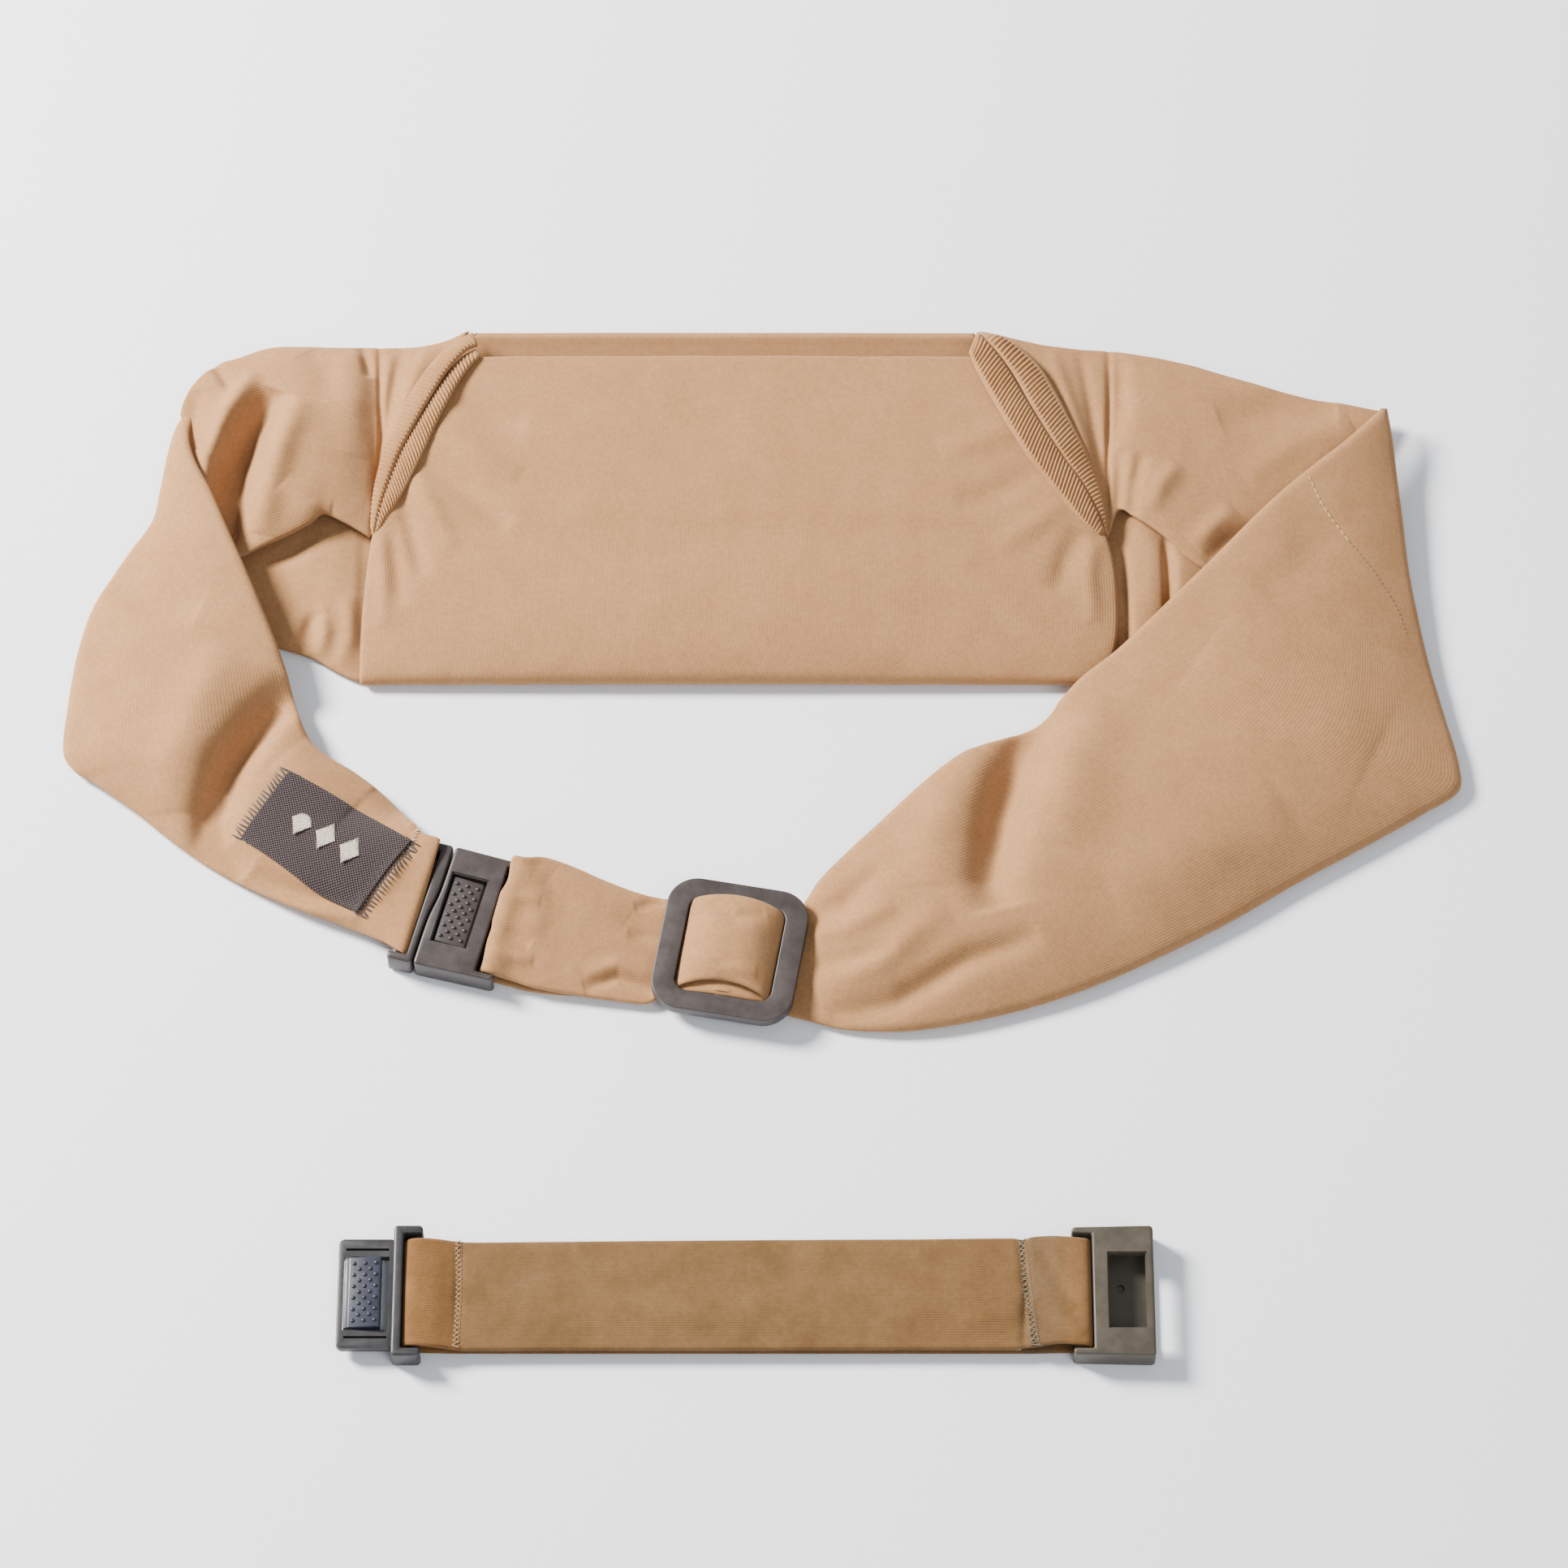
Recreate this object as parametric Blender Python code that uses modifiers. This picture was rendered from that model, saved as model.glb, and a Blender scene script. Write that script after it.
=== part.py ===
"""Pocketed money belt with a push-button buckle, a strap adjuster and a clip-in extender.

The belt lies closed on a table with its pocket mouth away from the viewer (+Y), its outer face up.
The origin is on the table under the middle of the pocket. Lengths are in millimetres here.
"""

import math

import bmesh
import bpy
from mathutils import Matrix, Vector

MM = 0.001

# Driving dimensions.
FABRIC = 1.2            # one layer of knitted fabric
SLEEVE = 3.6            # the flattened fabric sleeve of a wing
GAP = 0.3               # clearance between solids that touch

BUCKLE_WIDTH = 44.0
BUCKLE_DEEP = 9.0       # thickness from the table face to the front face
WEB_SLOT = 38.6         # the length of a strap slot, across the strap
BAR_RADIUS = 1.6        # the strap bar in each buckle half
MALE_FLANGE = 9.4       # how far the male half reaches back from the mating plane
TONGUE = 17.0
TONGUE_WIDTH = 37.0
TONGUE_Z = (2.9, 6.1)
CAVITY_Z = (1.6, 6.5)
CAVITY_LONG = 17.7
WINDOW_X = (2.9, 14.5)
WINDOW_WIDTH = 25.0
BUTTON_X = (3.3, 14.0)
BUTTON_WIDTH = 24.0
HINGE_X = 14.9          # where the button's spring arm flexes
FEMALE_LONG = 25.8

BUCKLE_AT = (-98.4, -146.7)
BUCKLE_TURN = -15.0
ADJUSTER_AT = (-3.0, -162.6)
ADJUSTER_TURN = -10.0
ADJUSTER_SIZE = (46.0, 47.0)
ADJUSTER_Z = (4.7, 9.1)

STRAP_WIDTH = 36.6
EXTENDER_Y = -281.0
EXTENDER_MALE_X = -108.0    # the mating plane of the extender's male half
EXTENDER_FEMALE_X = 130.0   # the mouth of the extender's female half


def clear_scene():
    for obj in list(bpy.data.objects):
        bpy.data.objects.remove(obj, do_unlink=True)


def new_collection(name, hidden=False):
    found = bpy.data.collections.new(name)
    found.hide_render = hidden
    bpy.context.scene.collection.children.link(found)
    return found


def new_material(name, color, roughness, metallic=0.0):
    made = bpy.data.materials.new(name)
    made.use_nodes = True
    shader = made.node_tree.nodes["Principled BSDF"]
    shader.inputs["Base Color"].default_value = (*color, 1.0)
    shader.inputs["Roughness"].default_value = roughness
    shader.inputs["Metallic"].default_value = metallic
    return made


clear_scene()
PARTS = new_collection("money_belt")
CUTTERS = new_collection("cutters", hidden=True)
KNIT = new_material("beige_knit", (0.59, 0.42, 0.28), 0.9)
KNIT_DARK = new_material("dark_label_weave", (0.07, 0.05, 0.05), 0.85)
THREAD = new_material("sewing_thread", (0.55, 0.40, 0.25), 0.8)
PLASTIC = new_material("grey_acetal", (0.085, 0.075, 0.075), 0.42)
ELASTIC = new_material("woven_elastic", (0.62, 0.56, 0.48), 0.8)


# ---- building helpers ----

def add_object(name, mesh, material, collection=PARTS):
    obj = bpy.data.objects.new(name, mesh)
    collection.objects.link(obj)
    if material:
        mesh.materials.append(material)
    return obj


def mesh_from(bm, name):
    mesh = bpy.data.meshes.new(name)
    bm.to_mesh(mesh)
    bm.free()
    return mesh


def box(low, high, name="box"):
    """A box mesh between two corners, in millimetres."""
    bm = bmesh.new()
    bmesh.ops.create_cube(bm, size=1.0)
    size = Vector(high) - Vector(low)
    middle = (Vector(high) + Vector(low)) / 2
    bmesh.ops.scale(bm, vec=size * MM, verts=bm.verts)
    bmesh.ops.translate(bm, vec=middle * MM, verts=bm.verts)
    return mesh_from(bm, name)


def bar_mesh(x, z, radius, half, sides=16):
    """A round bar along Y."""
    bm = bmesh.new()
    bmesh.ops.create_cone(
        bm, cap_ends=True, segments=sides, radius1=radius * MM, radius2=radius * MM, depth=2 * half * MM
    )
    bmesh.ops.rotate(bm, matrix=Matrix.Rotation(math.pi / 2, 3, "X"), verts=bm.verts)
    bmesh.ops.translate(bm, vec=Vector((x, 0, z)) * MM, verts=bm.verts)
    return mesh_from(bm, "bar")


def rounded_outline(size_x, size_y, radius, steps=5):
    """The corners of a rectangle centred on the origin, each an arc."""
    points = []
    for sx, sy, start in ((1, 1, 0), (-1, 1, 90), (-1, -1, 180), (1, -1, 270)):
        cx = sx * (size_x / 2 - radius)
        cy = sy * (size_y / 2 - radius)
        for i in range(steps + 1):
            a = math.radians(start + 90 * i / steps)
            points.append((cx + radius * math.cos(a), cy + radius * math.sin(a)))
    return points


def plate_mesh(outlines, z_low, z_high):
    """A flat plate with the given outlines; an outline inside another is a hole."""
    curve = bpy.data.curves.new("plate", "CURVE")
    curve.dimensions = "2D"
    curve.fill_mode = "BOTH"
    curve.extrude = (z_high - z_low) / 2 * MM
    for points in outlines:
        spline = curve.splines.new("POLY")
        spline.points.add(len(points) - 1)
        for place, (x, y) in zip(spline.points, points):
            place.co = (x * MM, y * MM, 0, 1)
        spline.use_cyclic_u = True
    carrier = bpy.data.objects.new("plate", curve)
    PARTS.objects.link(carrier)
    graph = bpy.context.evaluated_depsgraph_get()
    mesh = bpy.data.meshes.new_from_object(carrier.evaluated_get(graph))
    bpy.data.objects.remove(carrier)
    bm = bmesh.new()
    bm.from_mesh(mesh)
    bmesh.ops.remove_doubles(bm, verts=bm.verts, dist=1e-6)
    bmesh.ops.dissolve_limit(bm, angle_limit=0.001, verts=bm.verts, edges=bm.edges)
    bmesh.ops.recalc_face_normals(bm, faces=bm.faces)
    bmesh.ops.translate(bm, vec=(0, 0, (z_low + z_high) / 2 * MM), verts=bm.verts)
    bpy.data.meshes.remove(mesh)
    return mesh_from(bm, "plate")


def bevel(obj, width, segments=2, angle=40):
    made = obj.modifiers.new("edges", "BEVEL")
    made.width = width * MM
    made.segments = segments
    made.limit_method = "ANGLE"
    made.angle_limit = math.radians(angle)
    made.harden_normals = False
    return made


def boolean(obj, mesh, operation):
    """Cuts or joins a mesh, keeping the helper in the cutters' collection."""
    helper = add_object(obj.name + "_" + operation.lower(), mesh, None, CUTTERS)
    helper.hide_render = True
    helper.display_type = "WIRE"
    helper.matrix_world = obj.matrix_world
    helper.parent = obj
    helper.matrix_parent_inverse = Matrix.Identity(4)
    helper.matrix_basis = Matrix.Identity(4)
    made = obj.modifiers.new(operation.lower(), "BOOLEAN")
    made.operation = operation
    made.object = helper
    made.solver = "EXACT"
    return made


def place(obj, at, turn, parent=None):
    obj.location = Vector((at[0], at[1], at[2] if len(at) > 2 else 0.0)) * MM
    obj.rotation_euler = (0, 0, math.radians(turn))
    if parent:
        obj.parent = parent
    return obj


def sheet(name, rows, thickness, material=KNIT, levels=0):
    """A fabric piece: a grid of middle-surface points, in millimetres, given its thickness."""
    bm = bmesh.new()
    grid = [[bm.verts.new(Vector(p) * MM) for p in row] for row in rows]
    for upper, lower in zip(grid, grid[1:]):
        for i in range(len(upper) - 1):
            bm.faces.new((upper[i], lower[i], lower[i + 1], upper[i + 1]))
    bmesh.ops.recalc_face_normals(bm, faces=bm.faces)
    obj = add_object(name, mesh_from(bm, name), material)
    if levels:
        smooth = obj.modifiers.new("smooth", "SUBSURF")
        smooth.levels = levels
        smooth.render_levels = levels
        smooth.boundary_smooth = "PRESERVE_CORNERS"
    wall = obj.modifiers.new("wall", "SOLIDIFY")
    wall.thickness = thickness * MM
    wall.offset = 0.0
    obj.data.shade_smooth()
    return obj


def fan(stations, across, crown=0.0):
    """Rows of points across a strap, one row for each (edge, other edge) station."""
    rows = []
    for edge_a, edge_b in stations:
        a, b = Vector(edge_a), Vector(edge_b)
        row = []
        for i in range(across + 1):
            t = i / across
            lift = crown * math.sin(math.pi * t)
            row.append(a.lerp(b, t) + Vector((0, 0, lift)))
        rows.append(row)
    return rows


def extruded(name, profile, half_a, half_b, thickness, material=KNIT):
    """A strap end: a profile in X and Z swept across the strap, its half width going from a to b."""
    rows = []
    last = len(profile) - 1
    for i, (x, z) in enumerate(profile):
        half = half_a + (half_b - half_a) * i / last
        rows.append([(x, -half, z), (x, 0, z), (x, half, z)])
    return sheet(name, rows, thickness, material)


def in_frame(at, turn, x, y, z):
    """A point given beside a turned origin, as a point of the whole belt."""
    a = math.radians(turn)
    return (at[0] + x * math.cos(a) - y * math.sin(a), at[1] + x * math.sin(a) + y * math.cos(a), z)


def ribbon(name, stations, thickness, material=KNIT):
    """A strap given by its middle line: (middle x, middle y, turn, z, half width) for each station."""
    rows = []
    for x, y, turn, z, half in stations:
        rows.append([in_frame((x, y), turn, 0, side * half, z) for side in (-1, 0, 1)])
    return sheet(name, rows, thickness, material)


def loop_profile(bar_x, bar_z, radius, side, top_x, top_z, low_x, low_z, steps=6):
    """A strap that comes in on top, turns round a bar on the given side and goes back underneath."""
    points = [(top_x, top_z)]
    points.append((bar_x - side * 3.0, (bar_z + radius + top_z) / 2))
    for i in range(steps + 1):
        a = math.pi / 2 - math.pi * i / steps
        points.append((bar_x + side * radius * math.cos(a), bar_z + radius * math.sin(a)))
    points.append((bar_x - side * 3.0, (bar_z - radius + low_z) / 2))
    points.append((low_x, low_z))
    return points


# ---- buckle ----

BAR_Z = BUCKLE_DEEP / 2
MALE_BAR_X = -MALE_FLANGE + BAR_RADIUS + 0.4
FEMALE_BAR_X = FEMALE_LONG - BAR_RADIUS - 0.4


def make_male(name, at, turn):
    """The male half: a flange with a strap bar, and a tongue with an opening for the spring button."""
    outline = rounded_outline(MALE_FLANGE - GAP, BUCKLE_WIDTH, 1.6, 3)
    middle = -(MALE_FLANGE + GAP) / 2
    outline = [(x + middle, y) for x, y in outline]
    obj = add_object(name, plate_mesh([outline], 0, BUCKLE_DEEP), PLASTIC)
    place(obj, at, turn)
    half = WEB_SLOT / 2
    slot = box((-MALE_FLANGE - 2, -half, -1), (-3.3, half, BUCKLE_DEEP + 1))
    boolean(obj, slot, "DIFFERENCE")
    bevel(obj, 0.9, 3)
    boolean(obj, bar_mesh(MALE_BAR_X, BAR_Z, BAR_RADIUS, half + 1.2), "UNION")
    tongue = plate_mesh(
        [[(x + TONGUE / 2 - 0.6, y) for x, y in rounded_outline(TONGUE + 1.2, TONGUE_WIDTH, 2.0, 3)]],
        *TONGUE_Z,
    )
    boolean(obj, tongue, "UNION")
    spring_hole = box((1.0, -BUTTON_WIDTH / 2 - 0.4, -1), (HINGE_X + GAP, BUTTON_WIDTH / 2 + 0.4, 12))
    boolean(obj, spring_hole, "DIFFERENCE")
    return obj


def make_button(name, at, turn):
    """The spring arm with its push pad, turning about its root near the tongue's tip."""
    x_back, x_tip = BUTTON_X
    half = BUTTON_WIDTH / 2
    profile = [
        (HINGE_X, 4.4), (HINGE_X, 5.8), (x_tip, 6.1), (x_tip - 0.6, 6.8), (x_back + 1.0, 8.0),
        (x_back, 7.7), (x_back, 4.4),
    ]
    bm = bmesh.new()
    face = bm.faces.new([bm.verts.new(Vector((x - HINGE_X, -half, z - 5.1)) * MM) for x, z in profile])
    swept = bmesh.ops.extrude_face_region(bm, geom=[face])
    moved = [v for v in swept["geom"] if isinstance(v, bmesh.types.BMVert)]
    bmesh.ops.translate(bm, vec=(0, 2 * half * MM, 0), verts=moved)
    bmesh.ops.recalc_face_normals(bm, faces=bm.faces)
    obj = add_object(name, mesh_from(bm, name), PLASTIC)
    a = math.radians(turn)
    spot = Vector((at[0] + HINGE_X * math.cos(a), at[1] + HINGE_X * math.sin(a), at[2] + 5.1))
    place(obj, spot, turn)
    bevel(obj, 0.4, 2, 30)
    return obj


def make_female(name, at, turn):
    """The female half: a housing with a cavity for the tongue, a window for the button and a strap bar."""
    outline = rounded_outline(FEMALE_LONG - GAP, BUCKLE_WIDTH, 1.8, 3)
    middle = (FEMALE_LONG + GAP) / 2
    obj = add_object(name, plate_mesh([[(x + middle, y) for x, y in outline]], 0, BUCKLE_DEEP), PLASTIC)
    place(obj, at, turn)
    half = WEB_SLOT / 2
    boolean(obj, box((19.4, -half, -1), (FEMALE_LONG + 2, half, BUCKLE_DEEP + 1)), "DIFFERENCE")
    bevel(obj, 0.9, 3)
    side = TONGUE_WIDTH / 2 + 0.35
    boolean(obj, box((-2, -side, CAVITY_Z[0]), (CAVITY_LONG, side, CAVITY_Z[1])), "DIFFERENCE")
    window = box((WINDOW_X[0], -WINDOW_WIDTH / 2, 5), (WINDOW_X[1], WINDOW_WIDTH / 2, 12))
    boolean(obj, window, "DIFFERENCE")
    boolean(obj, bar_mesh(FEMALE_BAR_X, BAR_Z, BAR_RADIUS, half + 1.2), "UNION")
    return obj


def make_adjuster():
    """The strap adjuster: a rounded frame with a bar across its middle."""
    outer = rounded_outline(*ADJUSTER_SIZE, 10.0, 6)
    inner = rounded_outline(ADJUSTER_SIZE[0] - 14.5, ADJUSTER_SIZE[1] - 13.5, 4.0, 4)
    obj = add_object("tri_glide", plate_mesh([outer, inner], *ADJUSTER_Z), PLASTIC)
    place(obj, ADJUSTER_AT, ADJUSTER_TURN)
    bevel(obj, 1.1, 3)
    reach = ADJUSTER_SIZE[1] / 2 - 5.5
    boolean(obj, box((-2.2, -reach, 5.2), (2.2, reach, 8.0)), "UNION")
    return obj


buckle_spot = (*BUCKLE_AT, 0.5)
make_male("buckle_male", buckle_spot, BUCKLE_TURN)
make_button("buckle_button", buckle_spot, BUCKLE_TURN)
make_female("buckle_female", buckle_spot, BUCKLE_TURN)
make_adjuster()
extender_male_spot = (EXTENDER_MALE_X, EXTENDER_Y, 0.0)
make_male("extender_male", extender_male_spot, 180.0)
make_button("extender_button", extender_male_spot, 180.0)
make_female("extender_female", (EXTENDER_FEMALE_X, EXTENDER_Y, 0.0), 180.0)


# ---- strap pieces at the buckle and the adjuster ----

LOOP_RADIUS = BAR_RADIUS + GAP + FABRIC / 2
left_end = extruded(
    "left_strap_end",
    loop_profile(MALE_BAR_X, BAR_Z, LOOP_RADIUS, 1, -24.2, 5.6, -24.2, 2.6),
    18.4, 18.4, FABRIC,
)
place(left_end, buckle_spot, BUCKLE_TURN)
LIFT = buckle_spot[2]
strap_rows = []
turn_path = loop_profile(FEMALE_BAR_X, BAR_Z, LOOP_RADIUS, -1, 30.0, 6.6, 30.0, 2.4)
for x, z in [(70.0, 3.8), (62.0, 4.2), (50.0, 5.4), (38.0, 6.4), *turn_path, (38.0, 1.9), (50.0, 1.5), (70.0, 1.4)]:
    share = max(0.0, min(1.0, (x - 27.0) / 43.0))
    start = in_frame(BUCKLE_AT, BUCKLE_TURN, x, 0, 0)
    side_step = share * share * 5.0 + share * 1.6
    middle = in_frame(start, BUCKLE_TURN, 0, side_step, 0)
    strap_rows.append((middle[0], middle[1], BUCKLE_TURN + 5.0 * share, z + LIFT * (1 - share), 18.4))
strap_rows.insert(0, (*in_frame(ADJUSTER_AT, ADJUSTER_TURN, -13.6, 0, 0)[:2], ADJUSTER_TURN, 3.8, 17.4))
strap_rows.append((*in_frame(ADJUSTER_AT, ADJUSTER_TURN, -13.6, 0, 0)[:2], ADJUSTER_TURN, 1.4, 17.4))
ribbon("short_strap", strap_rows, FABRIC)

FOLD_RISE = 11.0
fold_profile = []
for step in range(9):
    t = step / 8
    fold_profile.append((-11.5 + 23.0 * t, 3.1 + (FOLD_RISE - 3.1) * math.sin(math.pi * t) ** 0.7))
adjuster_fold = extruded("adjuster_fold", fold_profile, 15.2, 15.2, FABRIC)
place(adjuster_fold, ADJUSTER_AT, ADJUSTER_TURN)
sewn_end = extruded(
    "sewn_strap_end",
    [(-4.0, 3.4), (-3.4, 6.6), (-2.6, 8.7), (0.0, 9.1), (2.6, 8.7), (3.4, 6.6), (4.0, 3.4)],
    15.6, 15.6, 0.9,
)
place(sewn_end, ADJUSTER_AT, ADJUSTER_TURN)

# ---- pocket ----

POCKET_HALF = 121.0
back_rows = []
for y, z, half in ((-60.4, 0.6, 119), (-20, 0.6, 122), (20, 0.6, 120), (46, 0.6, 116), (57, 2.6, 110), (67, 7.6, 96)):
    back_rows.append([(half * k / 3, y, z) for k in range(-3, 4)])
sheet("pocket_back_panel", back_rows, FABRIC)

front_stations = (
    # y, left edge x, right edge x, edge height, middle height
    (-61.0, -122.5, 112.0, 2.15, 2.15),
    (-56.0, -123.5, 120.0, 2.3, 6.4),
    (-34.0, -123.5, 123.0, 2.8, 10.4),
    (-8.0, -120.5, 119.5, 6.6, 12.6),
    (12.0, -111.0, 108.0, 10.8, 14.0),
    (34.0, -98.5, 92.0, 12.4, 14.9),
    (57.0, -87.0, 77.0, 13.2, 15.0),
)
front_rows = []
for y, left, right, edge_z, middle_z in front_stations:
    row = []
    for k in range(9):
        t = k / 8
        row.append((left + (right - left) * t, y, edge_z + (middle_z - edge_z) * math.sin(math.pi * t) ** 0.5))
    front_rows.append(row)
sheet("pocket_front_panel", front_rows, FABRIC)


def hem(name, path, width_vector, thickness):
    """A folded hem that runs along a path and tapers to a point at its lower end."""
    rows = []
    last = len(path) - 1
    for i, spot in enumerate(path):
        share = 0.12 + 0.88 * math.sin(math.pi * min(1.0, 0.08 + 0.92 * i / last) ** 0.8)
        side = Vector(width_vector) * share / 2
        rows.append([Vector(spot) - side, Vector(spot), Vector(spot) + side])
    return sheet(name, rows, thickness)


panel_top = front_stations[-1]
hem_rows = []
for y in (49.5, 54.0, 58.5):
    row = []
    for k in range(13):
        t = 0.035 + 0.93 * k / 12
        x = panel_top[1] + (panel_top[2] - panel_top[1]) * t
        row.append((x, y, panel_top[3] + 1.55 + (panel_top[4] - panel_top[3]) * math.sin(math.pi * t) ** 0.5))
    hem_rows.append(row)
sheet("front_mouth_hem", hem_rows, 1.2)

hem("left_mouth_hem", [(-122.5, -4, 11.5), (-117, 14, 14.6), (-106, 34, 16.8), (-96, 54, 17.6), (-90, 68, 16.8)],
    (9.5, -5.0, 1.0), 1.6)
hem("right_mouth_hem", [(122.0, -4, 11.5), (112.5, 14, 14.8), (99.5, 34, 17.0), (87.5, 54, 17.6), (79, 69, 16.8)],
    (11.0, 6.5, -1.0), 1.6)

# ---- side pockets between the panel and the wings ----

hem("left_flap_hem", [(-128.0, -2, 11.2), (-124.5, 16, 12.6), (-118.5, 34, 13.0), (-111.0, 52, 12.6), (-104.0, 64, 12.0)],
    (5.0, -2.6, 0.4), 1.2)
hem("right_flap_hem", [(130.0, 0, 11.0), (123.0, 18, 12.4), (113.5, 36, 13.0), (103.5, 54, 12.8), (97.0, 65, 12.2)],
    (9.0, 5.0, -0.6), 1.2)

sheet("left_side_pocket", fan([
    ((-126.0, 2.0, 3.0), (-126.5, -57.0, 3.0)),
    ((-140.0, 2.0, 3.4), (-139.0, -56.0, 3.0)),
    ((-155.0, 0.0, 3.4), (-151.0, -52.0, 3.0)),
    ((-175.0, -4.0, 3.0), (-160.0, -46.0, 2.8)),
], 4, 1.2), 2.6)
sheet("left_side_flap", fan([
    ((-108.0, 68.0, 9.5), (-125.5, -7.0, 7.6)),
    ((-124.0, 66.0, 9.0), (-130.5, -5.5, 8.0)),
    ((-142.0, 65.5, 9.0), (-141.0, -1.0, 8.6)),
    ((-160.0, 63.5, 9.0), (-152.0, -3.0, 8.4)),
    ((-174.0, 56.5, 8.6), (-163.0, -9.0, 8.0)),
    ((-187.0, 44.0, 8.0), (-174.0, -16.0, 7.2)),
], 4, 1.6), 2.4, levels=1)
sheet("right_side_pocket", fan([
    ((127.0, 0.0, 3.0), (127.5, -57.0, 3.0)),
    ((140.0, 0.0, 3.4), (139.0, -54.0, 3.0)),
    ((156.0, -4.0, 3.2), (156.0, -46.0, 3.0)),
], 4, 1.0), 2.6)
sheet("right_side_flap", fan([
    ((98.0, 68.5, 9.5), (126.0, -7.0, 7.6)),
    ((118.0, 65.5, 9.0), (134.0, -3.0, 8.4)),
    ((140.0, 62.0, 9.0), (146.0, -14.0, 7.8)),
    ((164.0, 56.0, 8.6), (160.0, -22.0, 7.4)),
    ((190.0, 47.0, 7.6), (180.0, -14.0, 6.8)),
    ((213.0, 42.0, 6.6), (203.0, 6.0, 6.0)),
], 4, 1.2), 2.4, levels=1)

# ---- wings ----

sheet("left_wing", fan([
    ((-190.5, 42.0, 12.6), (-186.5, 42.5, 13.4)),
    ((-193.5, 22.0, 11.8), (-181.0, 20.0, 14.8)),
    ((-196.5, -2.0, 9.0), (-173.0, -6.0, 15.2)),
    ((-206.0, -24.0, 6.6), (-164.0, -27.0, 14.0)),
    ((-215.0, -46.0, 4.6), (-152.5, -54.0, 11.0)),
    ((-219.0, -72.0, 3.6), (-142.5, -84.0, 6.8)),
    ((-214.0, -96.0, 3.2), (-131.5, -95.0, 5.2)),
    ((-185.0, -118.0, 3.0), (-119.0, -103.5, 4.6)),
    ((-156.0, -137.0, 3.0), (-114.8, -113.0, 4.4)),
    (in_frame(BUCKLE_AT, BUCKLE_TURN, -25.6, -18.4, 4.2), in_frame(BUCKLE_AT, BUCKLE_TURN, -25.6, 18.4, 4.6)),
], 4, 1.6), SLEEVE, levels=1)
sheet("right_wing", fan([
    ((214.5, 40.5, 11.4), (218.5, 37.0, 9.6)),
    ((197.0, 20.0, 13.2), (220.0, -2.0, 7.2)),
    ((175.0, -3.5, 13.6), (222.5, -38.0, 5.6)),
    ((151.0, -27.0, 13.4), (228.0, -70.0, 4.4)),
    ((124.0, -55.0, 12.2), (232.0, -97.0, 3.4)),
    ((100.0, -78.0, 8.4), (205.0, -119.0, 3.0)),
    ((72.0, -93.0, 5.8), (154.0, -151.0, 3.0)),
    ((46.0, -116.0, 4.6), (106.0, -174.5, 3.0)),
    ((33.0, -131.0, 4.0), (62.0, -186.5, 3.0)),
    (in_frame(ADJUSTER_AT, ADJUSTER_TURN, 31.0, 19.0, 3.2), in_frame(ADJUSTER_AT, ADJUSTER_TURN, 31.0, -18.6, 3.0)),
], 4, 1.2), SLEEVE, levels=1)

# ---- wing end under the adjuster's far side ----
throat = extruded("wing_throat", [(29.6, 2.8), (20.0, 2.4), (13.0, 2.4)], 17.6, 15.5, 2.0)
place(throat, ADJUSTER_AT, ADJUSTER_TURN)

# ---- label and stitching ----

LABEL_AT = (-134.5, -124.0, 9.4)
LABEL_TURN = -30.0
label = sheet("woven_label", fan([((x, -13.0, 0.0), (x, 13.0, 0.0)) for x in (-24, -8, 8, 24)], 2, 0.6), 0.8, KNIT_DARK)
place(label, LABEL_AT, LABEL_TURN)


def stitch_line(name, path, width, thickness=0.5, parent_at=(0, 0), turn=0.0):
    """A row of stitching, as a thin tape that runs along a path."""
    rows = []
    for i, spot in enumerate(path):
        here = Vector(spot)
        ahead = Vector(path[min(i + 1, len(path) - 1)]) - Vector(path[max(i - 1, 0)])
        side = Vector((-ahead.y, ahead.x, 0)).normalized() * width / 2
        rows.append([here - side, here + side])
    made = sheet(name, rows, thickness, THREAD)
    return place(made, parent_at, turn)


stitch_line("label_stitching_left", [(-23.0, -12.6, 0.0), (-23.0, 0.0, 0.6), (-23.0, 12.6, 0.0)], 1.4,
            parent_at=(LABEL_AT[0], LABEL_AT[1], LABEL_AT[2] + 1.1), turn=LABEL_TURN)
stitch_line("label_stitching_right", [(23.0, -12.6, 0.0), (23.0, 0.0, 0.6), (23.0, 12.6, 0.0)], 1.4,
            parent_at=(LABEL_AT[0], LABEL_AT[1], LABEL_AT[2] + 1.1), turn=LABEL_TURN)
stitch_line("strap_end_tack", [(-20.5, 6.0, 6.9), (-20.5, 17.5, 6.9)], 1.6,
            parent_at=buckle_spot, turn=BUCKLE_TURN)
stitch_line("wing_seam_stitching", [(191.0, 8.5, 17.0), (201.0, -5.5, 15.4), (212.0, -19.5, 12.2), (221.0, -33.0, 9.2)], 1.0)

# ---- extender ----

EXTENDER_LEFT = EXTENDER_MALE_X + 22.0
EXTENDER_RIGHT = EXTENDER_FEMALE_X - 40.5
HALF_STRAP = STRAP_WIDTH / 2


def strap_layer(name, x_low, x_high, z_middle, thickness, half, material=KNIT):
    rows = fan([((x_low + (x_high - x_low) * k / 4, -half, z_middle), (x_low + (x_high - x_low) * k / 4, half, z_middle))
                for k in range(5)], 2)
    made = sheet(name, rows, thickness, material)
    return place(made, (0, EXTENDER_Y), 0.0)


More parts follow.
